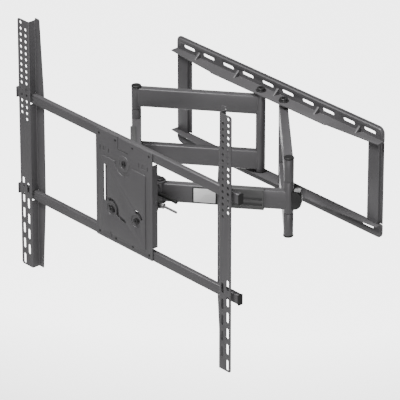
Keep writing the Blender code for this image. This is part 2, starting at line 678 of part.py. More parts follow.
def tilt_hardware():
    """Shaft, clamping knob, hexagon nut and the grip bar beside them."""
    place = (0, TILT_Y, Z_HEAD)
    outside = TILT_CHEEK_OUT + CLEAR
    left = -outside - NUT_LENGTH
    r = TILT_SHAFT_RADIUS
    thin = r - EDGE
    shaft = turned("tilt_shaft", [(0, TILT_SHAFT_END), (thin, TILT_SHAFT_END), (thin, outside + KNOB_LENGTH),
                                  (r, outside + KNOB_LENGTH), (r, -outside), (NUT_RADIUS, -outside),
                                  (NUT_RADIUS, left), (0, left)], place, BARE_STEEL, axis="X", sides=12)
    knob_high = outside + KNOB_LENGTH
    knob = sleeve("tilt_knob", KNOB_RADIUS, r + CLEAR, outside, knob_high - CLEAR, place, BLACK_PLASTIC,
                  axis="X")
    nut_low = knob_high + CLEAR
    nut_outline = [circle(TILT_Y, Z_HEAD, NUT_RADIUS, 6), circle(TILT_Y, Z_HEAD, thin + CLEAR, ROUND)]
    nut = plate("tilt_nut", nut_outline, "side", nut_low, nut_low + NUT_LENGTH, BARE_STEEL)
    grip = turned("tilt_grip", [(0, GRIP_END), (GRIP_RADIUS - EDGE, GRIP_END), (GRIP_RADIUS, GRIP_END - EDGE),
                                (GRIP_RADIUS, outside), (GRIP_SPIGOT, outside), (GRIP_SPIGOT, TILT_CHEEK_IN),
                                (0, TILT_CHEEK_IN)],
                  (0, TILT_Y + GRIP_REACH, Z_HEAD + GRIP_RISE), BLACK_PLASTIC, axis="X", sides=12)
    return shaft, knob, nut, grip


def field_outline(inset):
    """The raised field's outline, which dips under the level pivot, drawn in by an inset."""
    side, dip = FIELD_HALF_WIDTH - inset, 0.022 + inset
    low, high = Z_HEAD - FIELD_BOTTOM + inset, Z_HEAD + FIELD_TOP - inset
    return rounded([(-side, low, 0.004), (side, low, 0.004), (side, high, 0.004), (dip, high, 0),
                    (0, Z_LEVEL - 0.020 - inset, 0.014), (-dip, high, 0), (-side, high, 0.004)])


def arc_points(x, z, radius, start, end, steps):
    """Points of an arc in the wall plane, both ends included, by angles in degrees."""
    turns = (radians(start + (end - start) * i / steps) for i in range(steps + 1))
    return [(x + radius * cos(a), z + radius * sin(a)) for a in turns]


def window_outline():
    """The window: a round web hangs into its top, and a tail runs round each level bolt's dimple."""
    side, low, lobe = WINDOW_HALF_WIDTH, Z_HEAD - WINDOW_BOTTOM, Z_HEAD + LOBE_HEIGHT
    _, left, right = level_bolt_places()
    reach = DIMPLE_RADIUS + DIMPLE_RIM + TAIL_WEB
    facing = degrees(atan2(Z_LEVEL - lobe, -side))
    tip = degrees(atan2(lobe - Z_LEVEL, side)) % 360
    corner = degrees(acos(-side / TONGUE_RADIUS))
    return [*arc_points(*left, reach, 122, -15, 7), *((x, Z_HEAD + z) for x, z in LEFT_TAIL),
            (right[0] - reach * sin(radians(15)), low), *arc_points(*right, reach, 95, 32, 4),
            *((x, Z_HEAD + z) for x, z in RIGHT_TAIL), *arc_points(side, lobe, LOBE_RADIUS, 270, facing, 6),
            *arc_points(0, Z_LEVEL, TONGUE_RADIUS, tip, 360 - corner, 12), (-side, low + BEYOND)]


def centre_plate():
    """Front plate with a raised field, side flanges, a window, level slots and rail holes."""
    half_width = PLATE_WIDTH / 2
    half_height = PLATE_HEIGHT / 2
    rim = rounded([(a * half_width, Z_HEAD + b * half_height, 0.003)
                   for a, b in ((-1, -1), (1, -1), (1, 1), (-1, 1))], steps=2)
    rail_holes = [circle(sign * x, Z_HEAD + up * RAIL_SPACING / 2, RAIL_HOLE_RADIUS)
                  for sign in (-1, 1) for x in RAIL_HOLE_X for up in (-1, 1)]
    pivot_hole = circle(0, Z_LEVEL, LEVEL_BOLT_RADIUS + CLEAR, ROUND)
    body = plate("centre_plate", [rim], "front", PLATE_FRONT, PLATE_BACK, BLACK_STEEL)

    _, *bolts = level_bolt_places()
    # each level slot lies square to the line from the level pivot, so that the plate can turn about it
    slot_width = 2 * LEVEL_BOLT_RADIUS + 2 * RUN
    slots = [stadium(x, z, LEVEL_SLOT_LENGTH, slot_width, atan2(z - Z_LEVEL, x) + UPRIGHT) for x, z in bolts]
    width, tall = SIDE_SLOT
    side_slot = stadium(SIDE_SLOT_X, Z_HEAD + SIDE_SLOT_RISE, tall, width, turn=UPRIGHT)
    field = plate("centre_plate_field", [field_outline(0)], "front", FIELD_FRONT, PLATE_FRONT + SHEET * 0.4)
    outer, inner = half_width - SHEET * 0.1, half_width - SHEET * 0.9
    flanges = [box(f"centre_plate_flange_{side}",
                   (min(sign * outer, sign * inner), PLATE_FRONT + SHEET / 2, Z_HEAD - PLATE_FLANGE_HALF),
                   (max(sign * outer, sign * inner), PLATE_BACK + PLATE_FLANGE, Z_HEAD + PLATE_FLANGE_HALF))
               for side, sign in SIDES]
    floors = [circle(x, z, DIMPLE_RADIUS + DIMPLE_RIM, ROUND) for x, z in bolts]
    pocket = plate("centre_plate_pocket", [field_outline(SHEET * 1.5), *floors], "front", PLATE_FRONT,
                   PLATE_BACK + SHEET)
    dimples = [plate(f"centre_plate_dimple_{side}", [circle(x, z, DIMPLE_RADIUS, ROUND)], "front",
                     FIELD_FRONT - SHEET, PLATE_FRONT) for (side, _), (x, z) in zip(SIDES, bolts)]
    holes = plate("centre_plate_holes", [pivot_hole, *rail_holes, window_outline(), *slots, side_slot],
                  "front", FIELD_FRONT - SHEET, PLATE_BACK + SHEET)
    return carve(fuse(body, field, *flanges), pocket, *dimples, holes)


def level_bolt(name, place):
    """Bolt through the tilt frame and the centre plate, with its head on the plate."""
    x, z = place
    back = TILT_FRAME_BACK + CLEAR
    front = PLATE_FRONT - RUN
    end = front - LEVEL_BOLT_HEAD_HEIGHT
    r = LEVEL_BOLT_RADIUS
    # heights run along +Y, from the nut behind the tilt frame to the head on the plate
    far = back + LEVEL_NUT_HEIGHT
    profile = [(0, far), (LEVEL_NUT, far), (LEVEL_NUT, back), (r, back), (r, front), (LEVEL_BOLT_HEAD, front),
               (LEVEL_BOLT_HEAD, end), (0, end)]
    return turned(name, profile, (x, 0, z), BARE_STEEL, axis="Y", sides=12)


# ---------------------------------------------------------------- TV rails and brackets


def tv_rail(name, up):
    """A channel open towards the wall, drilled for the centre plate."""
    z = Z_HEAD + up * RAIL_SPACING / 2
    low, high = z - RAIL_HEIGHT / 2, z + RAIL_HEIGHT / 2
    t = RAIL_WALL
    section = [(RAIL_FRONT, low), (RAIL_BACK, low), (RAIL_BACK, low + t), (RAIL_FRONT + t, low + t),
               (RAIL_FRONT + t, high - t), (RAIL_BACK, high - t), (RAIL_BACK, high), (RAIL_FRONT, high)]
    half = RAIL_LENGTH / 2
    rail = plate(name, [section], "side", -half, half, BLACK_STEEL)
    places = [sign * x for sign in (-1, 1) for x in RAIL_HOLE_X]
    holes = plate(name + "_holes", [circle(x, z, RAIL_HOLE_RADIUS) for x in places], "front",
                  RAIL_FRONT - t, RAIL_FRONT + 2 * t)
    return carve(rail, holes)


def rail_cap(name, sign, up):
    """A plastic cap: a lid over the rail's end and a plug inside the channel."""
    z = Z_HEAD + up * RAIL_SPACING / 2
    end = RAIL_LENGTH / 2 + CLEAR
    edge = RAIL_HEIGHT / 2 + CAP_WALL
    lid = [(RAIL_FRONT - CAP_WALL, z - edge, 0.001), (RAIL_BACK + CAP_WALL, z - edge, 0.001),
           (RAIL_BACK + CAP_WALL, z + edge, 0.001), (RAIL_FRONT - CAP_WALL, z + edge, 0.001)]
    cap = plate(name, [rounded(lid, steps=1)], "side", *sorted((sign * end, sign * (end + CAP_LENGTH))),
                BLACK_PLASTIC)
    inset = RAIL_WALL + CLEAR
    low = (sign * (end - CAP_GRIP), RAIL_FRONT + inset, z - RAIL_HEIGHT / 2 + inset)
    high = (sign * (end + CAP_LENGTH / 2), RAIL_BACK - 0.001, z + RAIL_HEIGHT / 2 - inset)
    plug = box(name + "_plug", (min(low[0], high[0]), *low[1:]), (max(low[0], high[0]), *high[1:]))
    return fuse(cap, plug)


def tv_bracket(side, sign):
    """Z section: drilled face for the TV, web notched round both rails, and a tapered back wing."""
    name = f"tv_bracket_{side}"
    top = Z_BRACKET + BRACKET_LENGTH / 2
    low = Z_BRACKET - BRACKET_LENGTH / 2
    outer = BRACKET_X + BRACKET_FACE / 2
    bend = BRACKET_X - BRACKET_FACE / 2
    rim = rounded([(sign * bend, low, 0), (sign * outer, low, 0.006), (sign * outer, top, 0.006),
                   (sign * bend, top, 0)][::sign], steps=2)
    holes = []
    for (inset, drop), slot_drop in zip(HOLE_COLUMNS, BRACKET_SLOT_DROPS):
        x = sign * (outer - inset)
        holes += [circle(x, top - drop - i * HOLE_PITCH, HOLE_RADIUS, 6) for i in range(HOLE_COUNT)]
        holes += [stadium(x, top - slot_drop - i * BRACKET_SLOT_PITCH, BRACKET_SLOT_LENGTH,
                          BRACKET_SLOT_WIDTH, turn=UPRIGHT, sides=6) for i in range(BRACKET_SLOTS)
                  if slot_drop + i * BRACKET_SLOT_PITCH + BRACKET_SLOT_LENGTH / 2 < BRACKET_LENGTH]
    t = BRACKET_WALL
    bracket = plate(name, [rim, *holes], "front", BRACKET_FRONT, BRACKET_FRONT + t, BLACK_STEEL)

    ends, middle = bend - BRACKET_WING_END, bend - BRACKET_WING_MIDDLE
    height = BRACKET_LENGTH
    wing = [(bend, low), (bend, top), (bend - 0.004, top + BRACKET_TIP), (ends + 0.003, top + BRACKET_TIP),
            (ends, top), (middle, top - height * 0.28), (middle, low + height * 0.28), (ends, low)]
    back = plate(name + "_wing", [[(sign * x, z) for x, z in wing]], "front", BRACKET_BACK, BRACKET_BACK + t)
    notch = RAIL_HEIGHT / 2 + RUN
    edges = [low]
    for up in (-1, 1):
        z = Z_HEAD + up * RAIL_SPACING / 2
        edges += [z - notch, z + notch]
    edges.append(top)
    left, right = sorted((sign * bend, sign * (bend + t)))
    webs = [box(f"{name}_web_{k}", (left, BRACKET_FRONT + t / 2, edges[2 * k]),
                (right, BRACKET_BACK + t / 2, edges[2 * k + 1])) for k in range(3)]
    # the face keeps its full width in front of the rails, and the wing behind them
    return fuse(bracket, back, *webs)


# ---------------------------------------------------------------- assembly


def build():
    """Makes every piece and parents the moving ones to empties on their joints' axes."""
    wall_rail("wall_top_rail", 1)
    wall_rail("wall_bottom_rail", -1)
    for side, sign in SIDES:
        wall_stile(f"wall_stile_{side}", sign)
        wall_axle(side, sign)
        ride(axis_empty(f"wall_pivot_{side}", (sign * PIVOT_X, PIVOT_Y, Z_ARM)), *rear_link(side, sign),
             *wall_bushes(side, sign))
        ride(axis_empty(f"elbow_pivot_{side}", (sign * ELBOW_X, ELBOW_Y, Z_ARM)), *front_link(side, sign))
    head = axis_empty("head_pivot_left", (-PIVOT_X, HEAD_Y, Z_HEAD))
    ride(head, pivot_yoke(), *[head_axle(side, sign) for side, sign in SIDES])
    tilt = axis_empty("tilt_axis", (0, TILT_Y, Z_HEAD))
    shaft, knob, nut, grip = tilt_hardware()
    ride(tilt, tilt_frame(), shaft, knob, nut, grip)
    pivot_place, *bolt_places = level_bolt_places()
    ride(tilt, level_bolt("level_pivot_bolt", pivot_place))
    for (side, _), place in zip(SIDES, bolt_places):
        ride(tilt, level_bolt(f"level_bolt_{side}", place))
    level = axis_empty("level_axis", (0, PLATE_BACK, Z_LEVEL))
    ride(level, centre_plate())
    for place, up in (("top", 1), ("bottom", -1)):
        ride(level, tv_rail(f"tv_rail_{place}", up))
        for side, sign in SIDES:
            ride(level, rail_cap(f"rail_cap_{place}_{side}", sign, up))
    for side, sign in SIDES:
        slide = axis_empty(f"bracket_slide_{side}", (sign * BRACKET_X, RAIL_BACK, Z_HEAD))
        ride(slide, tv_bracket(side, sign))


build()
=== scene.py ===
"""Full motion TV wall mount: detailed pressings, tubes, fittings and finishes around the working frame.

Lengths are in metres. X runs along the wall, Y points into the wall and Z is up. Places come from the
frame's own boxes and joints, and the sizes that only matter to the looks are fields of each class.
"""
import json
import logging
from collections.abc import Callable, Sequence
from dataclasses import dataclass
from enum import Enum
from math import atan2, cos, pi, radians, sin, tan

import bmesh
import bpy
from mathutils import Matrix, Vector


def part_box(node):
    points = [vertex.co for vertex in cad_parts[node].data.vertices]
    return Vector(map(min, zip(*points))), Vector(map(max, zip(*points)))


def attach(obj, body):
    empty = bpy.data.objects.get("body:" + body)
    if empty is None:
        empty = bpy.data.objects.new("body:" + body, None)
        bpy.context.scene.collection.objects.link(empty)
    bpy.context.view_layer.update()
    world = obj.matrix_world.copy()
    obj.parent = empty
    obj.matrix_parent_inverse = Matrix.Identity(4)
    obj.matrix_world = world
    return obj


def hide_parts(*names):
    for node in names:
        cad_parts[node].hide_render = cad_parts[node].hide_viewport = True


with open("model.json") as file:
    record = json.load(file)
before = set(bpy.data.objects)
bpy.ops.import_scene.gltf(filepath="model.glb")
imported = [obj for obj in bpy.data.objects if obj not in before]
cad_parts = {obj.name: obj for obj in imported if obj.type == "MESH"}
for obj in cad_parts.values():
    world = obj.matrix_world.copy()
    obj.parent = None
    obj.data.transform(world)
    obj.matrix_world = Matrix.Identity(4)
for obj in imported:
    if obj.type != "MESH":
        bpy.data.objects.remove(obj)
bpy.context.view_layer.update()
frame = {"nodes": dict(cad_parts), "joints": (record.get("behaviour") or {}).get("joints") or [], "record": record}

LOG = logging.getLogger("wall_mount")

RECORD = frame["record"]
SLOT_OF = {row["node"]: row["material_slot"] for row in RECORD["subparts"]}
BODY_OF = {node: body for body, nodes in RECORD["behaviour"]["bodies"].items() for node in nodes}
AXIS = {joint["name"]: Vector(joint["pos_m"]) for joint in frame["joints"] if "pos_m" in joint}
HAIR = 1e-5                 # two heights closer than this are the same


class Side(Enum):
    """Which half of the mount a piece is on."""

    LEFT = -1
    RIGHT = 1

    @property
    def word(self) -> str:
        """The side's word in node names."""
        return self.name.lower()


class Level(Enum):
    """Whether a piece is the upper or the lower of a pair."""

    BOTTOM = -1
    TOP = 1

    @property
    def word(self) -> str:
        """The level's word in node names."""
        return self.name.lower()


class Pick(Enum):
    """What edit mode selects."""

    POINT = "VERT"
    EDGE = "EDGE"
    FACE = "FACE"


# ---------------------------------------------------------------- finishes


class Wire:
    """A shader socket that Python's arithmetic works on."""

    def __init__(self, recipe: "Recipe", socket: bpy.types.NodeSocket) -> None:
        """Wraps one output socket.

        Args:
            recipe: The material under way.
            socket: The output that the wire starts from.
        """
        self.recipe = recipe
        self.socket = socket

    def _math(self, operation: str, first: "Wire | float", second: "Wire | float" = 0.0) -> "Wire":
        """Adds a Math node."""
        return self.recipe.node("ShaderNodeMath", {"operation": operation}, {0: first, 1: second})

    def __add__(self, other: "Wire | float") -> "Wire":
        """Sum."""
        return self._math("ADD", self, other)

    __radd__ = __add__

    def __mul__(self, other: "Wire | float") -> "Wire":
        """Product."""
        return self._math("MULTIPLY", self, other)

    __rmul__ = __mul__

    def __sub__(self, other: "Wire | float") -> "Wire":
        """Difference."""
        return self._math("SUBTRACT", self, other)

    def __rsub__(self, other: float) -> "Wire":
        """Difference from a number."""
        return self._math("SUBTRACT", other, self)

    def band(self, low: float, high: float) -> "Wire":
        """Ramps from 0 to 1 between two values.

        Args:
            low: Where the ramp starts.
            high: Where it is complete.

        Returns:
            The ramp, held between 0 and 1.
        """
        sockets = {"Value": self, "From Min": low, "From Max": high}
        return self.recipe.node("ShaderNodeMapRange", {"clamp": True}, sockets)


class Recipe:
    """Builds one node material."""

    def __init__(self, name: str) -> None:
        """Starts an empty material with a Principled shader.

        Args:
            name: The material's name.
        """
        self.material = bpy.data.materials.new(name)
        self.material.use_nodes = True
        self.tree = self.material.node_tree
        self.shader = self.tree.nodes["Principled BSDF"]

    def node(self, kind: str, settings: dict, sockets: dict, output: int | str = 0) -> Wire:
        """Adds a node.

        Args:
            kind: The node's Blender type.
            settings: Properties, which are set before the sockets.
            sockets: Values or wires, by the input's name or number.
            output: The output to return.

        Returns:
            The node's output as a wire.
        """
        made = self.tree.nodes.new(kind)
        for key, value in settings.items():
            setattr(made, key, value)
        for key, value in sockets.items():
            self.plug(made.inputs[key], value)
        return Wire(self, made.outputs[output])

    def plug(self, socket: bpy.types.NodeSocket, value: "Wire | float | Sequence[float]") -> None:
        """Gives an input a wire or a value."""
        if isinstance(value, Wire):
            self.tree.links.new(value.socket, socket)
        else:
            socket.default_value = value

    def noise(self, scale: float, detail: float = 2.0, stretch: Sequence[float] = (1.0, 1.0, 1.0)) -> Wire:
        """Adds cloudy noise in the object's own space.

        Args:
            scale: Features per metre.
            detail: Octaves.
            stretch: Scale along each axis.

        Returns:
            The noise, from 0 to 1.
        """
        place = self.node("ShaderNodeTexCoord", {}, {}, "Object")
        place = self.node("ShaderNodeMapping", {}, {"Vector": place, "Scale": stretch})
        return self.node("ShaderNodeTexNoise", {}, {"Vector": place, "Scale": scale, "Detail": detail})

    def mix(self, amount: Wire, first: "Wire | Sequence[float]", second: "Wire | Sequence[float]") -> Wire:
        """Mixes two colours.

        Args:
            amount: 0 gives the first colour and 1 the second.
            first: A colour.
            second: A colour.

        Returns:
            The mixed colour.
        """
        made = self.tree.nodes.new("ShaderNodeMix")
        made.data_type = "RGBA"
        for key, value in ((0, amount), (6, first), (7, second)):
            self.plug(made.inputs[key], value)
        return Wire(self, made.outputs[2])

    def edges(self, reach: float) -> Wire:
        """Finds the outer and inner corners of a piece.

        Args:
            reach: How far from a corner it still counts.

        Returns:
            0 on flat faces and up to 1 at corners.
        """
        soft = self.node("ShaderNodeBevel", {"samples": 6}, {"Radius": reach})
        flat = self.node("ShaderNodeNewGeometry", {}, {}, "Normal")
        match = self.node("ShaderNodeVectorMath", {"operation": "DOT_PRODUCT"}, {0: soft, 1: flat}, "Value")
        return (1.0 - match).band(0.01, 0.22)

    def bump(self, height: Wire, depth: float, strength: float) -> Wire:
        """Turns a height into a normal.

        Args:
            height: The height field, from 0 to 1.
            depth: How deep 1 is.
            strength: How much of the effect shows.

        Returns:
            The bent normal.
        """
        return self.node("ShaderNodeBump", {}, {"Height": height, "Distance": depth, "Strength": strength})

    def finish(self, **sockets: "Wire | float | Sequence[float]") -> bpy.types.Material:
        """Plugs the shader.

        Args:
            **sockets: Values by input name, with _ for a space.

        Returns:
            The finished material.
        """
        for key, value in sockets.items():
            self.plug(self.shader.inputs[key.replace("_", " ")], value)
        return self.material


def grey(value: float, warmth: float = 0.0) -> tuple[float, float, float, float]:
    """A near-grey colour.

    Args:
        value: Its brightness.
        warmth: Share of red and blue over green.

    Returns:
        Red, green, blue and alpha.
    """
    return (value * (1 + warmth), value, value * (1 + warmth * 1.3), 1.0)


@dataclass(frozen=True)
class PowderCoat:
    """Satin powder coat on steel: a fine orange-peel skin, faint mottling, and paler corners that are partly
    rubbed wear and partly a painted highlight.
    """

    name: str = "satin_powder_coat"
    colour: float = 0.118
    # Colour of the paler corners, partly rubbed wear and partly a painted highlight on the edges.
    rubbed: float = 0.30
    roughness: float = 0.42
    grain: float = 1500.0
    peel: float = 420.0

    def make(self) -> bpy.types.Material:
        """Builds the material."""
        recipe = Recipe(self.name)
        mottle = recipe.noise(9.0, 3.0)
        fleck = recipe.noise(self.grain, 1.0)
        peel = recipe.noise(self.peel, 2.0)
        # Paler corners broken up by noise: partly edge wear, partly a painted highlight; the same mask also lowers
        # the roughness there.
        wear_and_highlight = recipe.edges(0.0012) * recipe.noise(60.0, 3.0).band(0.35, 0.62)
        dark, pale = grey(self.colour * 0.93, 0.03), grey(self.colour * 1.07, 0.03)
        base = recipe.mix(mottle.band(0.3, 0.7), dark, pale)
        speckled = recipe.mix(fleck.band(0.62, 0.78) * 0.35, base, grey(self.colour * 1.7, 0.02))
        coat = recipe.mix(wear_and_highlight * 0.55, speckled, grey(self.rubbed, 0.01))
        rough = mottle.band(0.2, 0.8) * 0.08 + fleck * 0.10 + (self.roughness - 0.09) - wear_and_highlight * 0.08
        skin = recipe.bump(peel * 0.7 + fleck * 0.3, 0.00025, 0.35)
        return recipe.finish(Base_Color=coat, Roughness=rough, Normal=skin, Metallic=0.25, IOR=1.5)


@dataclass(frozen=True)
class MouldedPlastic:
    """Moulded plastic with a fine spark-eroded texture, faint flow marks and a painted highlight along every edge.
    """

    name: str
    colour: float
    roughness: float = 0.48
    grain: float = 1900.0

    def make(self) -> bpy.types.Material:
        """Builds the material."""
        recipe = Recipe(self.name)
        grain = recipe.noise(self.grain, 2.0)
        flow = recipe.noise(18.0, 2.0, (1.0, 1.0, 3.0))
        # Painted highlight: every edge is mixed towards a paler grey.
        rubbed = recipe.edges(0.0008)
        base = recipe.mix(flow.band(0.3, 0.7), grey(self.colour * 0.9), grey(self.colour * 1.12))
        shade = recipe.mix(rubbed * 0.4, base, grey(min(self.colour * 2.2 + 0.02, 0.95)))
        rough = grain * 0.12 + (self.roughness - 0.06) + flow * 0.05
        return recipe.finish(Base_Color=shade, Roughness=rough, Normal=recipe.bump(grain, 0.0002, 0.4))


@dataclass(frozen=True)
class ZincPlate:
    """Bright zinc plate with turning marks and a slight bloom."""

    name: str = "bright_zinc"
    colour: float = 0.50
    roughness: float = 0.30

    def make(self) -> bpy.types.Material:
        """Builds the material."""
        recipe = Recipe(self.name)
        lines = recipe.noise(900.0, 2.0, (1.0, 8.0, 1.0))
        bloom = recipe.noise(120.0, 4.0)
        shade = recipe.mix(bloom.band(0.35, 0.7), grey(self.colour), grey(self.colour * 0.72, 0.02))
        rough = lines * 0.12 + bloom * 0.15 + (self.roughness - 0.12)
        skin = recipe.bump(lines, 0.0001, 0.3)
        return recipe.finish(Base_Color=shade, Roughness=rough, Metallic=0.9, Normal=skin)


class Finishes:
    """Every material of the mount, by the record's slot."""

    def __init__(self) -> None:
        """Makes each material once."""
        self.steel = PowderCoat().make()
        self.black_steel = PowderCoat("black_oxide", 0.035, 0.16, 0.36).make()
        self.zinc = ZincPlate().make()
        self.plastic = MouldedPlastic("black_moulding", 0.018).make()
        self.cover = MouldedPlastic("grey_moulding", 0.085, 0.5).make()
        self.pale = MouldedPlastic("pale_moulding", 0.52, 0.42).make()
        self.white = MouldedPlastic("white_moulding", 0.88, 0.35, 900.0).make()
        self.by_slot = {"dark_steel": self.steel, "bare_steel": self.zinc, "black_plastic": self.plastic,
                        "white_plastic": self.white}

    def dress_frame(self) -> None:
        """Gives every CAD node the material of its slot."""
        for name, node in frame["nodes"].items():
            node.data.materials.clear()
            node.data.materials.append(self.by_slot[SLOT_OF[name]])


# ---------------------------------------------------------------- the bench


def only(*pieces: bpy.types.Object) -> None:
    """Selects these pieces and nothing else, the first one active."""
    bpy.ops.object.select_all(action="DESELECT")
    for piece in pieces:
        piece.select_set(True)
    bpy.context.view_layer.objects.active = pieces[0]


def settle(piece: bpy.types.Object) -> bpy.types.Object:
    """Moves a piece's place, turn and size into its mesh."""
    only(piece)
    bpy.ops.object.transform_apply(location=True, rotation=True, scale=True)
    return piece


def newest(name: str) -> bpy.types.Object:
    """Names the piece that was just added, and settles it."""
    piece = bpy.context.object
    piece.name = name
    piece.data.name = name
    return settle(piece)


def block(name: str, low: Sequence[float], high: Sequence[float]) -> bpy.types.Object:
    """A cube stretched between two corners, in either order."""
    low, high = (Vector(map(pick, low, high)) for pick in (min, max))
    bpy.ops.object.select_all(action="DESELECT")
    bpy.ops.mesh.primitive_cube_add(size=1, location=(low + high) / 2, scale=high - low)
    return newest(name)


def sheet(name: str, x: Sequence[float], z: Sequence[float], y: float) -> bpy.types.Object:
    """An upright rectangle that faces the room.

    Args:
        name: The piece's name.
        x: Its two ends.
        z: Its two heights.
        y: Its distance into the wall.

    Returns:
        The rectangle, one face with no thickness yet.
    """
    bpy.ops.object.select_all(action="DESELECT")
    bpy.ops.mesh.primitive_plane_add(size=1, location=(sum(x) / 2, y, sum(z) / 2), rotation=(pi / 2, 0, 0))
    bpy.context.object.scale = (abs(x[1] - x[0]), abs(z[1] - z[0]), 1)
    return newest(name)


def bar(name: str, radius: float, start: Sequence[float], end: Sequence[float],
        sides: int = 40) -> bpy.types.Object:
    """A round bar between two points."""
    start, end = Vector(start), Vector(end)
    turn = (end - start).to_track_quat("Z", "Y").to_euler()
    bpy.ops.object.select_all(action="DESELECT")
    bpy.ops.mesh.primitive_cylinder_add(vertices=sides, radius=radius, depth=(end - start).length,
                                        location=(start + end) / 2, rotation=turn)
    return newest(name)


class Shaping:
    """Edit mode on one piece: select by a test, then shape what is selected."""

    def __init__(self, piece: bpy.types.Object) -> None:
        """Keeps the piece for the with block."""
        self.piece = piece

    def __enter__(self) -> "Shaping":
        """Opens edit mode."""
        only(self.piece)
        bpy.ops.object.mode_set(mode="EDIT")
        return self

    def __exit__(self, *_: object) -> None:
        """Closes edit mode."""
        bpy.ops.object.mode_set(mode="OBJECT")

    def pick(self, what: Pick, test: Callable[[object], bool] = lambda item: True) -> "Shaping":
        """Selects the points, edges or faces that pass a test.

        Args:
            what: The kind of element.
            test: Takes the element of the edit mesh.

        Returns:
            This object, so that a step can follow.
        """
        bpy.ops.mesh.select_mode(type=what.value)
        bpy.ops.mesh.select_all(action="DESELECT")
        mesh = bmesh.from_edit_mesh(self.piece.data)
        items = {Pick.POINT: mesh.verts, Pick.EDGE: mesh.edges, Pick.FACE: mesh.faces}[what]
        for item in [item for item in items if test(item)]:
            item.select_set(True)
        mesh.select_flush_mode()
        bmesh.update_edit_mesh(self.piece.data)
        return self

    def chosen(self) -> set[int]:
        """The numbers of the selected points."""
        return {point.index for point in bmesh.from_edit_mesh(self.piece.data).verts if point.select}

    def move(self, *offset: float) -> "Shaping":
        """Shifts what is selected."""
        bpy.ops.transform.translate(value=offset)
        return self

    def scale(self, factor: Sequence[float], centre: Sequence[float]) -> "Shaping":
        """Stretches what is selected about a centre."""
        bpy.ops.transform.resize(value=factor, center_override=centre)
        return self

    def extrude(self, *offset: float) -> "Shaping":
        """Extrudes what is selected."""
        bpy.ops.mesh.extrude_region_move(TRANSFORM_OT_translate={"value": offset})
        return self

    def inset(self, width: float, depth: float = 0.0) -> "Shaping":
        """Insets the selected faces, and sinks them by a depth."""
        bpy.ops.mesh.inset(thickness=width, depth=-depth)
        return self

    def bevel(self, width: float, steps: int = 3, points: bool = False) -> "Shaping":
        """Rounds the selected edges or points."""
        bpy.ops.mesh.bevel(offset=width, segments=steps, affect="VERTICES" if points else "EDGES",
                           offset_type="OFFSET")
        return self

    def split(self, place: Sequence[float], normal: Sequence[float]) -> "Shaping":
        """Cuts the selected faces along a plane."""
        bpy.ops.mesh.bisect(plane_co=place, plane_no=normal)
        return self

    def chop(self, place: Sequence[float], normal: Sequence[float]) -> "Shaping":
        """Cuts off everything past a plane and closes the piece again."""
        self.pick(Pick.FACE)
        bpy.ops.mesh.bisect(plane_co=place, plane_no=normal, clear_outer=True, use_fill=True)
        return self


def lies_at(axis: int, value: float) -> Callable[[object], bool]:
    """A test that an edge or a face lies wholly at one place on an axis."""
    return lambda part: all(abs(point.co[axis] - value) < HAIR for point in part.verts)


def runs_along(edge: bmesh.types.BMEdge, axis: int) -> bool:
    """Whether an edge is parallel to an axis."""
    step = (edge.verts[1].co - edge.verts[0].co).normalized()
    return abs(step[axis]) > 0.999


def rounded_block(name: str, low: Sequence[float], high: Sequence[float], axis: int, radius: float,
                  steps: int = 4, soft: float = 0.0004) -> bpy.types.Object:
    """A block whose four edges along one axis are rounded.

    Args:
        name: The piece's name.
        low: One corner.
        high: The other corner.
        axis: 0, 1 or 2 for X, Y or Z.
        radius: Of the four edges.
        steps: Faces in each rounding.
        soft: Width of the chamfer on all other edges.

    Returns:
        The block.
    """
    piece = block(name, low, high)
    with Shaping(piece) as shape:
        shape.pick(Pick.EDGE, lambda edge: runs_along(edge, axis)).bevel(radius, steps)
    return soften(piece, soft) if soft else piece


def modify(piece: bpy.types.Object, kind: str, **settings: object) -> bpy.types.Object:
    """Adds a modifier and applies it.

    Args:
        piece: What it shapes.
        kind: The modifier's Blender type.
        **settings: Its properties.

    Returns:
        The piece.
    """
    only(piece)
    modifier = piece.modifiers.new(kind.lower(), kind)
    for key, value in settings.items():
        setattr(modifier, key, value)
    bpy.ops.object.modifier_apply(modifier=modifier.name)
    return piece


def soften(piece: bpy.types.Object, width: float = 0.0004, steps: int = 2,
           angle: float = 35) -> bpy.types.Object:
    """Breaks every sharp edge with a small round."""
    return modify(piece, "BEVEL", width=width, segments=steps, limit_method="ANGLE",
                  angle_limit=radians(angle), use_clamp_overlap=True)


def thicken(piece: bpy.types.Object, thickness: float, outwards: bool = False) -> bpy.types.Object:
    """Gives a sheet its thickness, behind its faces or in front of them."""
    return modify(piece, "SOLIDIFY", thickness=thickness, offset=1 if outwards else -1, use_even_offset=True)


def gather(name: str, pieces: Sequence[bpy.types.Object]) -> bpy.types.Object:
    """Joins pieces into one object."""
    only(*pieces)
    if len(pieces) > 1:
        bpy.ops.object.join()
    pieces[0].name = name
    return pieces[0]


def shaped(piece: bpy.types.Object, operation: str, tools: Sequence[bpy.types.Object]) -> bpy.types.Object:
    """Cuts or joins tools with a piece, and clears them away."""
    tool = gather("tool", list(tools))
    modify(piece, "BOOLEAN", operation=operation, object=tool, solver="EXACT")
    bpy.data.objects.remove(tool, do_unlink=True)
    return piece


def cut(piece: bpy.types.Object, *tools: bpy.types.Object) -> bpy.types.Object:
    """Cuts tools that don't touch each other out of a piece."""
    return shaped(piece, "DIFFERENCE", tools)


def fuse(piece: bpy.types.Object, *tools: bpy.types.Object) -> bpy.types.Object:
    """Joins tools that don't touch each other to a piece."""
    return shaped(piece, "UNION", tools)


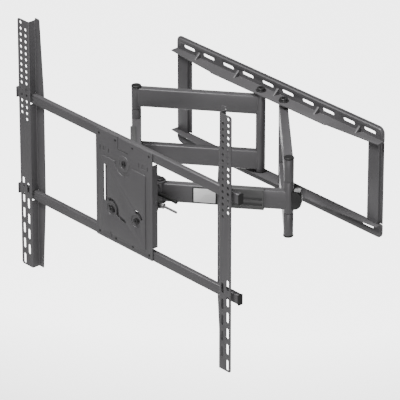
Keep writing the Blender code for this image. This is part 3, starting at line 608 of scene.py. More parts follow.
def slot_tool(centre: Sequence[float], length: float, width: float, depth: float, turn: float = 0.0,
              sides: int = 24) -> bpy.types.Object:
    """A round-ended cutter that points through a sheet on the wall plane.

    Args:
        centre: Its middle.
        length: End to end.
        width: Across, which is also the diameter of its ends.
        depth: Along Y.
        turn: From X, about Y.
        sides: Of a full circle.

    Returns:
        The cutter.
    """
    x, y, z = centre
    tool = bar("slot_tool", width / 2, (0, -depth / 2, 0), (0, depth / 2, 0), sides)
    if length > width:
        with Shaping(tool) as shape:
            for sign in (-1, 1):
                shape.pick(Pick.POINT, lambda point: sign * point.co.x > HAIR)
                shape.move(sign * (length - width) / 2, 0, 0)
    tool.matrix_world = Matrix.Translation((x, y, z)) @ Matrix.Rotation(-turn, 4, "Y")
    return settle(tool)


def placed(piece: bpy.types.Object, place: Matrix) -> bpy.types.Object:
    """Moves a piece that was made about the origin to its place."""
    piece.matrix_world = place
    return settle(piece)


def tidy(piece: bpy.types.Object, angle: float = 32) -> bpy.types.Object:
    """Closes seams, points the faces outwards and shades the rounds smooth."""
    with Shaping(piece) as shape:
        shape.pick(Pick.POINT)
        bpy.ops.mesh.remove_doubles(threshold=HAIR / 100)
        bpy.ops.mesh.normals_make_consistent(inside=False)
    only(piece)
    bpy.ops.object.shade_smooth_by_angle(angle=radians(angle))
    return piece


def fit(piece: bpy.types.Object, material: bpy.types.Material, node: str, also: Sequence[str] = (),
        stands: bool = True, angle: float = 32) -> bpy.types.Object:
    """Finishes a piece and puts it on the frame.

    Args:
        piece: The modelled piece.
        material: Its finish.
        node: The CAD node whose body it takes.
        also: More nodes that it stands for.
        stands: Whether it stands for the node, or is an extra piece beside it.
        angle: Edges flatter than this are shaded smooth.

    Returns:
        The piece.
    """
    tidy(piece, angle)
    piece.data.materials.clear()
    piece.data.materials.append(material)
    for face in piece.data.polygons:
        face.material_index = 0
    if stands:
        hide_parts(node, *also)
    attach(piece, BODY_OF[node])
    LOG.info("%s rides on %s", piece.name, BODY_OF[node])
    return piece


# ---------------------------------------------------------------- wall frame


@dataclass
class WallFrame:
    """Slotted rails, stiles and pivot bolts, all fixed to the wall."""

    finishes: Finishes
    thickness: float = 0.0025
    corner: float = 0.016
    bend: float = 0.0035
    end_depth: float = 0.022
    deep_half: float = 0.205
    jog: float = 0.003
    rim: float = 0.0035
    bead_slope: float = 0.0016
    bead_top: float = 0.0016
    bead_height: float = 0.0030
    slot_count: int = 10
    slot_pitch: float = 0.072
    slot_length: float = 0.040
    slot_width: float = 0.009
    slot_drop: float = 0.022

    def build(self) -> None:
        """Makes both rails, both stiles and the bolts."""
        for level in Level:
            self.rail(level)
        for side in Side:
            self.stile(side)
            self.bolt(side)

    def rail(self, level: Level) -> None:
        """A pressed rail: a web with a bead round its top and ends, a flange, and ribs between them."""
        up = level.value
        low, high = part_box(f"wall_{level.word}_rail")
        edge, root = (high.z, low.z) if up > 0 else (low.z, high.z)
        piece = sheet(f"pressed_{level.word}_rail", (low.x, high.x), (root, edge), 0)
        with Shaping(piece) as shape:
            shape.pick(Pick.POINT, lambda point: abs(point.co.z - edge) < HAIR).bevel(self.corner, 7, True)
            shape.pick(Pick.FACE).inset(self.rim).inset(self.bead_slope)
            raised = shape.chosen()
            raised |= shape.inset(self.bead_top).chosen()
            shape.inset(self.bead_slope)
            clear = root + up * (self.rim + 0.010)
            shape.pick(Pick.POINT, lambda point: point.index in raised and up * (point.co.z - clear) > 0)
            shape.move(0, -self.bead_height, 0)
            shape.pick(Pick.EDGE, lies_at(2, root))
            shape.extrude(0, low.y, 0)
            for x in (self.deep_half, self.deep_half + self.jog):
                for sign in (-1, 1):
                    shape.pick(Pick.FACE)
                    shape.split((sign * x, 0, root), (1, 0, 0))
            for x, back in ((high.x, -low.y - self.end_depth), (self.deep_half + self.jog, self.jog)):
                shape.pick(Pick.POINT, lambda p: p.co.y < low.y + HAIR and abs(abs(p.co.x) - x) < HAIR * 10)
                shape.move(0, back, 0)
            shape.pick(Pick.EDGE, lambda fold: all(abs(p.co.z - root) < HAIR and abs(p.co.y) < HAIR
                                                   for p in fold.verts)).bevel(self.bend, 4)
            shape.pick(Pick.FACE)
            bpy.ops.mesh.normals_make_consistent(inside=False)
        facing = max(piece.data.polygons, key=lambda face: face.area).normal.y < 0
        thicken(piece, self.thickness, outwards=facing)
        height = edge - up * self.slot_drop
        first = -(self.slot_count - 1) / 2 * self.slot_pitch
        places = [(first + i * self.slot_pitch, 0, height) for i in range(self.slot_count)]
        cut(piece, *[slot_tool(place, self.slot_length, self.slot_width, 0.02) for place in places])
        fit(soften(piece, 0.0005), self.finishes.steel, f"wall_{level.word}_rail")
        ribs = gather(f"pressed_{level.word}_ribs", [self.rib(x, root, up) for x in self.rib_places()])
        fit(ribs, self.finishes.steel, f"wall_{level.word}_rail", stands=False)

    def rib_places(self) -> list[float]:
        """Where the ribs stand, in the middle of every second gap between slots."""
        return [(2 * i - (self.slot_count - 2) / 2) * self.slot_pitch for i in range(self.slot_count // 2)]

    def rib(self, x: float, root: float, up: int) -> bpy.types.Object:
        """A pressed rib in the corner between web and flange."""
        half, reach, rise = 0.004, 0.0190, 0.0175
        piece = block("rib", (x - half, -self.thickness * 0.6, root + up * self.thickness * 0.5),
                      (x + half, -self.thickness - reach, root + up * rise))
        with Shaping(piece) as shape:
            front = -self.thickness - reach
            shape.pick(Pick.POINT, lambda p: p.co.y < front + HAIR and up * (p.co.z - root) > rise - HAIR)
            shape.move(0, reach - 0.001, 0)
            shape.pick(Pick.EDGE, lambda edge: abs(edge.verts[0].co.x - edge.verts[1].co.x) < HAIR
                       and not runs_along(edge, 1) and not runs_along(edge, 2)).bevel(0.002, 3)
        return piece

    def stile(self, side: Side) -> bpy.types.Object:
        """An upright of hat section: a proud face between two feet."""
        low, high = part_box(f"wall_stile_{side.word}")
        foot, thick = 0.008, 0.002
        piece = sheet(f"pressed_stile_{side.word}", (low.x + foot, high.x - foot), (low.z, high.z), low.y)
        with Shaping(piece) as shape:
            for x, sign in ((low.x + foot, -1), (high.x - foot, 1)):
                shape.pick(Pick.EDGE, lies_at(0, x))
                shape.extrude(0, -low.y - thick, 0).extrude(sign * foot, 0, 0)
            shape.pick(Pick.EDGE, lambda e: runs_along(e, 2) and len(e.link_faces) == 2).bevel(0.0022, 4)
            shape.pick(Pick.FACE)
            bpy.ops.mesh.normals_make_consistent(inside=False)
        facing = max(piece.data.polygons, key=lambda face: face.area).normal.y < 0
        thicken(piece, thick, outwards=not facing)
        soften(piece, 0.0004)
        return fit(piece, self.finishes.steel, f"wall_stile_{side.word}")

    def bolt(self, side: Side) -> None:
        """Pivot bolt with its flanged head above, and the nut below."""
        low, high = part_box(f"wall_axle_{side.word}")
        x, y = (low.x + high.x) / 2, (low.y + high.y) / 2
        head = bolt_head(f"pivot_bolt_{side.word}", (x, y), high.z - 0.008, high.z, 0.0125)
        stem = bar("stem", 0.005, (x, y, low.z), (x, y, high.z - 0.0079), 24)
        fit(fuse(head, stem), self.finishes.black_steel, f"wall_axle_{side.word}")
        low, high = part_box(f"wall_axle_nut_{side.word}")
        nut = hex_nut(f"pivot_nut_{side.word}", (x, y), low.z, high.z, 0.0119, 0.0053)
        fit(nut, self.finishes.black_steel, f"wall_axle_nut_{side.word}")


def bolt_head(name: str, centre: Sequence[float], low: float, high: float, radius: float) -> bpy.types.Object:
    """A domed head with a flange and a hexagon socket, on an upright axis."""
    x, y = centre
    neck = radius * 0.78
    head = bar(name, neck, (x, y, low), (x, y, high), 40)
    with Shaping(head) as shape:
        shape.pick(Pick.EDGE, lies_at(2, high)).bevel(0.0022, 4)
    flange = bar("flange", radius, (x, y, low - 0.0001), (x, y, low + 0.0018), 40)
    fuse(head, flange)
    socket = bar("socket", neck * 0.5, (x, y, high - 0.0045), (x, y, high + 0.001), 6)
    return soften(cut(head, socket), 0.0003)


def hex_nut(name: str, centre: Sequence[float], low: float, high: float, radius: float,
            bore: float) -> bpy.types.Object:
    """A hexagon nut with turned corners and a bore, on an upright axis."""
    x, y = centre
    nut = bar(name, radius, (x, y, low), (x, y, high), 6)
    soften(nut, 0.0006, 2)
    return cut(nut, bar("bore", bore, (x, y, low - 0.001), (x, y, high + 0.001), 24))


# ---------------------------------------------------------------- arms


def link_place(start: Vector, end: Vector) -> Matrix:
    """The place of a link made along +X from the origin."""
    return Matrix.Translation(start) @ Matrix.Rotation(atan2(end.y - start.y, end.x - start.x), 4, "Z")


@dataclass
class Arm:
    """One side's rear link and front link, with the elbow between them."""

    finishes: Finishes
    side: Side
    post: float = 0.0118
    gap: float = 0.0003
    bar_half: float = 0.0105
    bar_round: float = 0.003

    def build(self) -> None:
        """Makes the posts, bars, knuckles, caps, nose and cover."""
        word = self.side.word
        self.post_piece(f"rear_post_{word}", 0.0006)
        for level in ("upper", "lower"):
            self.post_piece(f"elbow_{level}_knuckle_{word}", 0.0009)
            self.tube(f"rear_{level}_bar_{word}", AXIS[f"wall_{word}"], AXIS[f"elbow_{word}"])
            self.cap(f"elbow_{level}_cap_{word}", 1 if level == "upper" else -1)
        self.post_piece(f"front_elbow_knuckle_{word}", 0.0009)
        self.post_piece(f"front_head_knuckle_{word}", 0.0009)
        head = Vector((AXIS["head_left"].x * -self.side.value, AXIS["head_left"].y, AXIS["head_left"].z))
        self.tube(f"front_bar_{word}", AXIS[f"elbow_{word}"], head)
        self.front_trim(AXIS[f"elbow_{word}"], head)

    def post_piece(self, node: str, chamfer: float) -> bpy.types.Object:
        """A round post or knuckle with broken ends."""
        low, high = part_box(node)
        x, y = (low.x + high.x) / 2, (low.y + high.y) / 2
        piece = bar(f"turned_{node}", self.post, (x, y, low.z), (x, y, high.z), 64)
        with Shaping(piece) as shape:
            shape.pick(Pick.FACE, lambda face: abs(face.normal.z) > 0.9)
            shape.inset(self.post * 0.46, 0.0015)
            shape.pick(Pick.EDGE, lambda e: lies_at(2, low.z)(e) or lies_at(2, high.z)(e))
            shape.pick(Pick.EDGE, lambda e: not runs_along(e, 2) and all(
                (p.co.xy - Vector((x, y))).length > self.post - HAIR for p in e.verts)).bevel(chamfer, 2)
        return fit(piece, self.finishes.steel, node)

    def tube(self, node: str, start: Vector, end: Vector) -> bpy.types.Object:
        """A rectangular tube with rounded edges, welded between two posts."""
        low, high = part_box(node)
        length = (end.xy - start.xy).length
        half = self.bar_half
        piece = rounded_block(f"welded_{node}", (self.gap, -half, low.z),
                              (length - self.gap, half, high.z), 0, self.bar_round, 4, 0)
        cut(piece, *[bar("post_tool", self.post + self.gap, (x, 0, low.z - 0.01), (x, 0, high.z + 0.01), 64)
                     for x in (0, length)])
        place = link_place(Vector((start.x, start.y, 0)), Vector((end.x, end.y, 0)))
        piece = placed(soften(piece, 0.0003), place)
        fit(piece, self.finishes.steel, node)
        seams = [self.weld(x, sign, low.z, high.z) for x in (0, length) for sign in (-1, 1)]
        seam = placed(gather(f"weld_seams_{node}", seams), place)
        fit(seam, self.finishes.steel, node, stands=False, angle=60)
        return piece

    def weld(self, x: float, sign: int, low: float, high: float) -> bpy.types.Object:
        """A rippled weld bead where a bar's side meets its post."""
        toward = 1 if x == 0 else -1
        half = self.bar_half - 0.0012
        reach = x + toward * ((self.post ** 2 - half ** 2) ** 0.5 + 0.0008)
        radius, waves, swell, start, end = 0.0013, 9, 0.18, low + 0.004, high - 0.004
        bead = bar("bead", radius, (reach, sign * half, start), (reach, sign * half, end), 10)
        with Shaping(bead) as shape:
            rings = [low + (high - low) * i / (2 * waves) for i in range(1, 2 * waves)]
            for height in rings:
                shape.pick(Pick.FACE).split((0, 0, height), (0, 0, 1))
            inside = [height for height in rings if start < height < end]
            for height in (start, *inside, end):
                ripple = 1 + swell * sin((height - low) * 2 * pi * waves / (high - low))
                shape.pick(Pick.POINT, lambda point: abs(point.co.z - height) < HAIR)
                shape.scale((ripple, ripple, 1), (reach, sign * half, height))
        return bead

    def cap(self, node: str, up: int) -> bpy.types.Object:
        """A plastic elbow cap with a rounded end and a shallow recess in it."""
        low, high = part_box(node)
        x, y = (low.x + high.x) / 2, (low.y + high.y) / 2
        rim, end = (low.z, high.z) if up > 0 else (high.z, low.z)
        piece = bar(f"moulded_{node}", (high.x - low.x) / 2, (x, y, low.z), (x, y, high.z), 48)
        with Shaping(piece) as shape:
            shape.pick(Pick.EDGE, lies_at(2, end)).bevel(0.0026, 4)
            shape.pick(Pick.FACE, lambda f: up * f.normal.z > 0.99 and len(f.verts) > 8).inset(0.0022, 0.0005)
            shape.pick(Pick.EDGE, lies_at(2, rim)).bevel(0.0004, 2)
        return fit(piece, self.finishes.plastic, node)

    def front_trim(self, elbow: Vector, head: Vector) -> None:
        """The nose past the elbow, the cable cover, and on the right the nameplate and cable clip."""
        word, s = self.side.word, self.side.value
        place = link_place(Vector((elbow.x, elbow.y, head.z)), head)
        self.nose(place, word)
        cover = self.cover(s)
        fit(placed(cover, place), self.finishes.cover, f"cable_cover_{word}")
        latch = rounded_block(f"cover_latch_{word}", (0.139, s * 0.0145, -0.0145),
                              (0.152, s * 0.0215, 0.0145), 2, 0.002, 3, 0)
        with Shaping(latch) as shape:
            shape.pick(Pick.FACE, lambda f: s * f.normal.y > 0.99).inset(0.0016, 0.0008)
        fit(placed(soften(latch, 0.0005), place), self.finishes.cover, f"cable_cover_{word}", stands=False)
        if self.side is Side.RIGHT:
            self.nameplate(place)
            clip = rounded_block("cable_clip", (-0.0285, -0.0035, 0.0232),
                                 (-0.0135, 0.0075, 0.0300), 1, 0.002, 3)
            fit(placed(clip, place), self.finishes.pale, "nameplate_blank", stands=False)

    def nose(self, place: Matrix, word: str) -> None:
        """A half-round plastic end past the elbow, cut round the knuckle, with a shallow recess in each side."""
        half, reach, flank = 0.0225, 0.0318, 0.0095
        piece = block(f"moulded_nose_{word}", (-reach, -flank, -half), (-0.0006, flank, half))
        with Shaping(piece) as shape:
            shape.pick(Pick.EDGE, lambda e: runs_along(e, 1) and e.verts[0].co.x < -0.02).bevel(0.0188, 10)
            shape.pick(Pick.FACE, lambda f: abs(f.normal.y) > 0.99).inset(0.0025, 0.0009)
        cut(piece, bar("post_tool", self.post + self.gap, (0, 0, -0.04), (0, 0, 0.04), 64))
        soften(piece, 0.0006, 3)
        fit(placed(piece, place), self.finishes.plastic, f"front_nose_{word}")

    def cover(self, s: int) -> bpy.types.Object:
        """A snap-on channel over the bar's room side, with two long recesses in its face."""
        start, end, half, wall = 0.057, 0.167, 0.0263, 0.0025
        inner = self.bar_half + self.gap
        outer = inner + 2 * wall
        piece = block(f"snap_cover_{self.side.word}", (start, s * 0.0021, -half), (end, s * outer, half))
        cut(piece, block("channel", (start - 0.01, s * -0.01, -half + wall),
                         (end + 0.01, s * inner, half - wall)))
        with Shaping(piece) as shape:
            shape.pick(Pick.EDGE, lambda e: runs_along(e, 0) and s * e.verts[0].co.y > outer - HAIR)
            shape.bevel(0.0022, 4)
        grooves = [block("groove", (start + 0.004, s * (outer - 0.0034), z - 0.0043),
                         (end - 0.003, s * (outer + 0.002), z + 0.0043)) for z in (-0.0125, 0.0015)]
        cut(piece, *grooves)
        return soften(piece, 0.0004)

    def nameplate(self, place: Matrix) -> None:
        """A black carrier with a blank white plate set in it."""
        x, face = 0.1975, self.bar_half + self.gap
        carrier = rounded_block("nameplate_carrier", (x - 0.030, face, -0.0205),
                                (x + 0.030, face + 0.0013, 0.0205), 1, 0.003, 4)
        fit(placed(carrier, place), self.finishes.plastic, "nameplate_blank", stands=False)
        inlay = rounded_block("blank_nameplate", (x - 0.0255, face + 0.0011, -0.0178),
                              (x + 0.0265, face + 0.0019, 0.0178), 1, 0.002, 4, 0.0002)
        fit(placed(inlay, place), self.finishes.white, "nameplate_blank")


# ---------------------------------------------------------------- screen side


@dataclass
class ScreenBracket:
    """An upright bracket of Z section, drilled and slotted for the screen's screws."""

    finishes: Finishes
    side: Side
    face: float = 0.0415
    thickness: float = 0.002
    bend: float = 0.0025
    rise: float = 0.006
    hole_pitch: float = 0.0156
    hole_radius: float = 0.0040
    holes: int = 16
    slots: int = 6
    slot_pitch: float = 0.0412
    slot_length: float = 0.027
    slot_width: float = 0.0085
    hole_columns: tuple = ((0.011, 0.009), (0.029, 0.0235))
    slot_drops: tuple = (0.429, 0.4405)

    def build(self) -> bpy.types.Object:
        """Makes the bracket."""
        node = f"tv_bracket_{self.side.word}"
        low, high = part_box(node)
        s = self.side.value
        outer, inner = (high.x, low.x) if s > 0 else (low.x, high.x)
        fold = outer - s * self.face
        bottom, top = low.z, high.z - self.rise
        wing_front = high.y - self.thickness
        ends = inner + s * 0.012
        piece = sheet(f"pressed_bracket_{self.side.word}", (fold, outer), (bottom, top), low.y)
        with Shaping(piece) as shape:
            shape.pick(Pick.POINT, lambda p: abs(p.co.x - outer) < HAIR).bevel(0.006, 5, True)
            shape.pick(Pick.EDGE, lies_at(0, fold))
            shape.extrude(0, wing_front - low.y, 0).extrude(inner - fold, 0, 0)
            for height in (top - (top - bottom) * 0.28, bottom + (top - bottom) * 0.28):
                shape.pick(Pick.FACE, lambda f: abs(f.normal.y) > 0.9
                           and f.calc_center_median().y > low.y + 0.01)
                shape.split((0, 0, height), (0, 0, 1))
            for height in (top, bottom):
                shape.pick(Pick.POINT, lambda p: abs(p.co.x - inner) < HAIR and abs(p.co.z - height) < HAIR)
                shape.move(ends - inner, 0, 0)
            shape.pick(Pick.EDGE, lambda e: all(abs(p.co.z - top) < HAIR and p.co.y > wing_front - HAIR
                                                for p in e.verts)).extrude(0, 0, self.rise)
            shape.pick(Pick.POINT, lambda p: p.co.z > top + HAIR and abs(p.co.x - ends) < HAIR)
            shape.bevel(0.004, 4, True)
            shape.pick(Pick.EDGE, lambda e: lies_at(0, fold)(e) and runs_along(e, 2)
                       and len(e.link_faces) == 2 and e.calc_face_angle(0) > 0.5)
            shape.bevel(self.bend, 4)
            shape.pick(Pick.FACE)
            bpy.ops.mesh.normals_make_consistent(inside=False)
        facing = max(piece.data.polygons, key=lambda face: face.area).normal.y < 0
        thicken(piece, self.thickness, outwards=not facing)
        cut(piece, *self.notches(fold, low.y, wing_front), *self.tools(outer, top, low.y))
        soften(piece, 0.0003, 2)
        return fit(piece, self.finishes.steel, node)

    def notches(self, fold: float, front: float, wing: float) -> list[bpy.types.Object]:
        """Cutters that let both rails through the web."""
        tools = []
        for level in Level:
            low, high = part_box(f"tv_rail_{level.word}")
            tools.append(block("notch", (fold - 0.006, front + self.thickness + 0.0004, low.z - 0.0006),
                               (fold + 0.006, wing - 0.0001, high.z + 0.0006)))
        return tools

    def tools(self, outer: float, top: float, front: float) -> list[bpy.types.Object]:
        """Cutters for both columns of holes and slots."""
        tools = []
        depth = 0.008
        for (inset, drop), slot_drop in zip(self.hole_columns, self.slot_drops):
            x = outer - self.side.value * inset
            for i in range(self.holes):
                place = (x, front, top - drop - i * self.hole_pitch)
                tools.append(slot_tool(place, 0, 2 * self.hole_radius, depth))
            for i in range(self.slots):
                fall = slot_drop + i * self.slot_pitch
                if fall + self.slot_length / 2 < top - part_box(f"tv_bracket_{self.side.word}")[0].z:
                    tools.append(slot_tool((x, front, top - fall), self.slot_length, self.slot_width,
                                           depth, pi / 2))
        return tools


@dataclass
class ScreenRail:
    """A cross rail: a channel open towards the wall, with a plastic cap on each end."""

    finishes: Finishes
    level: Level
    thickness: float = 0.002
    bend: float = 0.0028

    def build(self) -> None:
        """Makes the channel and both caps."""
        node = f"tv_rail_{self.level.word}"
        low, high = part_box(node)
        piece = sheet(f"rolled_rail_{self.level.word}", (low.x, high.x), (low.z, high.z), low.y)
        with Shaping(piece) as shape:
            for z in (low.z, high.z):
                shape.pick(Pick.EDGE, lambda e: all(abs(p.co.z - z) < HAIR and abs(p.co.y - low.y) < HAIR
                                                    for p in e.verts)).extrude(0, high.y - low.y, 0)
            shape.pick(Pick.EDGE, lambda e: runs_along(e, 0) and len(e.link_faces) == 2).bevel(self.bend, 5)
            shape.pick(Pick.FACE)
            bpy.ops.mesh.normals_make_consistent(inside=False)
        facing = max(piece.data.polygons, key=lambda face: face.area).normal.y < 0
        thicken(piece, self.thickness, outwards=not facing)
        soften(piece, 0.0003, 2)
        fit(piece, self.finishes.steel, node)
        for side in Side:
            self.cap(side)

    def cap(self, side: Side) -> None:
        """A moulded cap: a cushioned lid and a plug inside the channel."""
        node = f"rail_cap_{self.level.word}_{side.word}"
        low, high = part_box(node)
        s = side.value
        out, back = (high.x, low.x) if s > 0 else (low.x, high.x)
        lid = block(f"moulded_{node}", (out - s * 0.003, low.y, low.z), (out, high.y, high.z))
        with Shaping(lid) as shape:
            shape.pick(Pick.FACE, lambda f: s * f.normal.x > 0.99)
            shape.inset(0.0035)
            shape.pick(Pick.EDGE, lambda e: runs_along(e, 0)).bevel(0.0020, 3)
        soften(lid, 0.0008, 3)
        plug = block("plug", (back, low.y + 0.0035, low.z + 0.0035),
                     (out - s * 0.002, high.y - 0.0022, high.z - 0.0035))
        soften(plug, 0.0008, 2)
        fit(fuse(lid, plug), self.finishes.plastic, node)


@dataclass
class CentrePlate:
    """The stamped plate between the rails: raised field, dished bolt seats, window and slots."""

    finishes: Finishes
    thickness: float = 0.0025

    def build(self) -> None:
        """Makes the plate and its screws."""
        low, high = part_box("centre_plate")
        self.low, self.high = low, high
        self.middle = (low.z + high.z) / 2
        self.field_front = low.y
        self.front = low.y + self.thickness
        self.back = self.front + self.thickness
        self.pivot = AXIS["level"].z - self.middle
        boxes = [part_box(f"level_bolt_{side.word}") for side in Side]
        self.bolts = [((a.x + b.x) / 2, (a.z + b.z) / 2 - self.middle) for a, b in boxes]
        self.plate()
        self.screws()

    def spot(self, x: float, z: float, y: float | None = None) -> tuple[float, float, float]:
        """A point on the plate, measured from its middle."""
        return (x, self.front if y is None else y, self.middle + z)

    def plate(self) -> bpy.types.Object:
        """Presses, folds and pierces the plate."""
        low, high, t = self.low, self.high, self.thickness
        piece = rounded_block("stamped_centre_plate", (low.x, self.front, low.z),
                              (high.x, self.back, high.z), 1, 0.003, 3, 0)
        folds = []
        for s in (-1, 1):
            folds.append(block("fold", (s * (high.x - t), self.front + 0.0006, self.middle - 0.107),
                               (s * (high.x - 0.0001), high.y, self.middle + 0.107)))
        fuse(piece, *folds)
        fuse(piece, self.field(0, self.field_front, self.front + 0.001, 0.0011))
        cut(piece, self.field(t * 1.4, self.front, self.back + 0.02, 0))
        self.seats(piece)
        cut(piece, *self.piercings())
        self.window(piece)
        return fit(soften(piece, 0.00035, 2), self.finishes.steel, "centre_plate")

    def field(self, inset: float, front: float, back: float, soft: float) -> bpy.types.Object:
        """The raised field, a block whose top edge dips round the level pivot."""
        side, lowest, highest = 0.079 - inset, -0.120 + inset, 0.0755 - inset
        piece = rounded_block("field", self.spot(-side, lowest, front), self.spot(side, highest, back),
                              1, 0.004, 4, 0)
        cut(piece, bar("dip", 0.031 + inset, self.spot(0, self.pivot, front - 0.01),
                       self.spot(0, self.pivot, back + 0.01), 64))
        if soft:
            with Shaping(piece) as shape:
                shape.pick(Pick.EDGE, lies_at(1, front)).bevel(soft, 3)
        return piece

    def seats(self, piece: bpy.types.Object) -> None:
        """Dishes round the level bolts, and a boss round the level pivot."""
        places = self.bolts
        floors = [bar("floor", 0.0188, self.spot(x, z, self.front - 0.0002), self.spot(x, z, self.back), 48)
                  for x, z in places]
        fuse(piece, *floors)
        dishes = []
        for x, z in places:
            dish = bar("dish", 0.0165, self.spot(x, z, self.field_front - 0.002),
                       self.spot(x, z, self.front), 48)
            with Shaping(dish) as shape:
                shape.pick(Pick.EDGE, lies_at(1, self.front))
                shape.bevel(0.0015, 3)
            dishes.append(dish)
        cut(piece, *dishes)
        ring = bar("boss", 0.0205, self.spot(0, self.pivot, self.front - 0.0016),
                   self.spot(0, self.pivot, self.front + 0.0006), 64)
        with Shaping(ring) as shape:
            shape.pick(Pick.EDGE, lambda e: all(p.co.y < self.front - 0.0015 for p in e.verts))
            shape.bevel(0.001, 3)
        fuse(piece, ring)
        cut(piece, bar("boss_floor", 0.0145, self.spot(0, self.pivot, self.front - 0.01),
                       self.spot(0, self.pivot, self.front - 0.0006), 48))

    def piercings(self) -> list[bpy.types.Object]:
        """Cutters for the window, the slots and the holes, none of which touch."""
        tools = [slot_tool(self.spot(-0.0655, 0.0075), 0.097, 0.013, 0.03, pi / 2)]
        for x, z in self.bolts:
            tools.append(slot_tool(self.spot(x, z), 0.026, 0.0092, 0.03, atan2(z - self.pivot, x) + pi / 2))
        tools.append(slot_tool(self.spot(0, self.pivot), 0, 0.0086, 0.03))
        for sign in (-1, 1):
            for x in (0.031, 0.0905):
                for z in (-0.128, 0.128):
                    tools.append(slot_tool(self.spot(sign * x, z), 0, 0.0070, 0.012))
            for shift, width in ((-0.0155, 0.0035), (0.0, 0.0115), (0.0155, 0.0035)):
                x = sign * 0.0705 + shift
                tools.append(block("tab", self.spot(x - width / 2, 0.0875, self.front - 0.004),
                                   self.spot(x + width / 2, 0.0985, self.front + 0.0014)))
        tools.append(block("lance", self.spot(-0.0225, 0.107, self.front - 0.004),
                           self.spot(-0.0198, 0.150, self.front + 0.0016)))
        tools.append(block("step", self.spot(-0.0190, 0.107, self.front - 0.004),
                           self.spot(0.0170, 0.1098, self.front + 0.0016)))
        tools.append(block("foot_slit", self.spot(-0.0480, -0.1295, self.front - 0.004),
                           self.spot(-0.0455, -0.1150, self.front + 0.0012)))
        return tools

    def window(self, piece: bpy.types.Object) -> None:
        """The window: a round web hangs into its top, and a tail runs round each level bolt's dish."""
        near, far = self.front - 0.01, self.back + 0.03
        half, lobe = 0.0456, 0.034
        tool = rounded_block("window", self.spot(-half, -0.031, near), self.spot(half, 0.062, far),
                             1, 0.002, 3, 0)
        cut(tool, self.rod(0, self.pivot, 0.051, near, far))
        cut(tool, self.rod(half, lobe, 0.0105, near, far))
        cut(tool, block("side", self.spot(half - 0.006, lobe + 0.006, near),
                        self.spot(half + 0.01, 0.07, far)))
        cut(piece, tool)
        for x, z in self.bolts:
            ring = self.rod(x, z, 0.0285, near, far)
            cut(ring, self.rod(x, z, 0.0195, near - 0.01, far + 0.01))
            turns = ((120, 1), (-24, -1)) if x < 0 else ((94, 1), (26, -1))
            with Shaping(ring) as shape:
                for turn, sense in turns:
                    angle = radians(turn)
                    shape.chop(self.spot(x, z), (-sense * sin(angle), 0, sense * cos(angle)))
            cut(piece, ring)
        x, z = self.bolts[0]
        cut(piece, slot_tool(self.spot(x + 0.0375, z - 0.0125, self.front), 0.033, 0.0085, 0.06,
                             radians(-17)))

    def rod(self, x: float, z: float, radius: float, near: float, far: float) -> bpy.types.Object:
        """A round cutter through the plate."""
        return bar("rod", radius, self.spot(x, z, near), self.spot(x, z, far), 72)

    def screws(self) -> None:
        """Button screws that hold the rails to the plate."""
        heads = []
        for sign in (-1, 1):
            for x in (0.031, 0.0905):
                for z in (-0.128, 0.128):
                    head = bar("screw", 0.0033, self.spot(sign * x, z, self.front - 0.0003),
                               self.spot(sign * x, z, self.front + 0.006), 20)
                    socket = bar("socket", 0.0017, self.spot(sign * x, z, self.front - 0.001),
                                 self.spot(sign * x, z, self.front + 0.001), 6)
                    heads.append(soften(cut(head, socket), 0.0003))
        fit(gather("rail_screws", heads), self.finishes.black_steel, "centre_plate", stands=False)


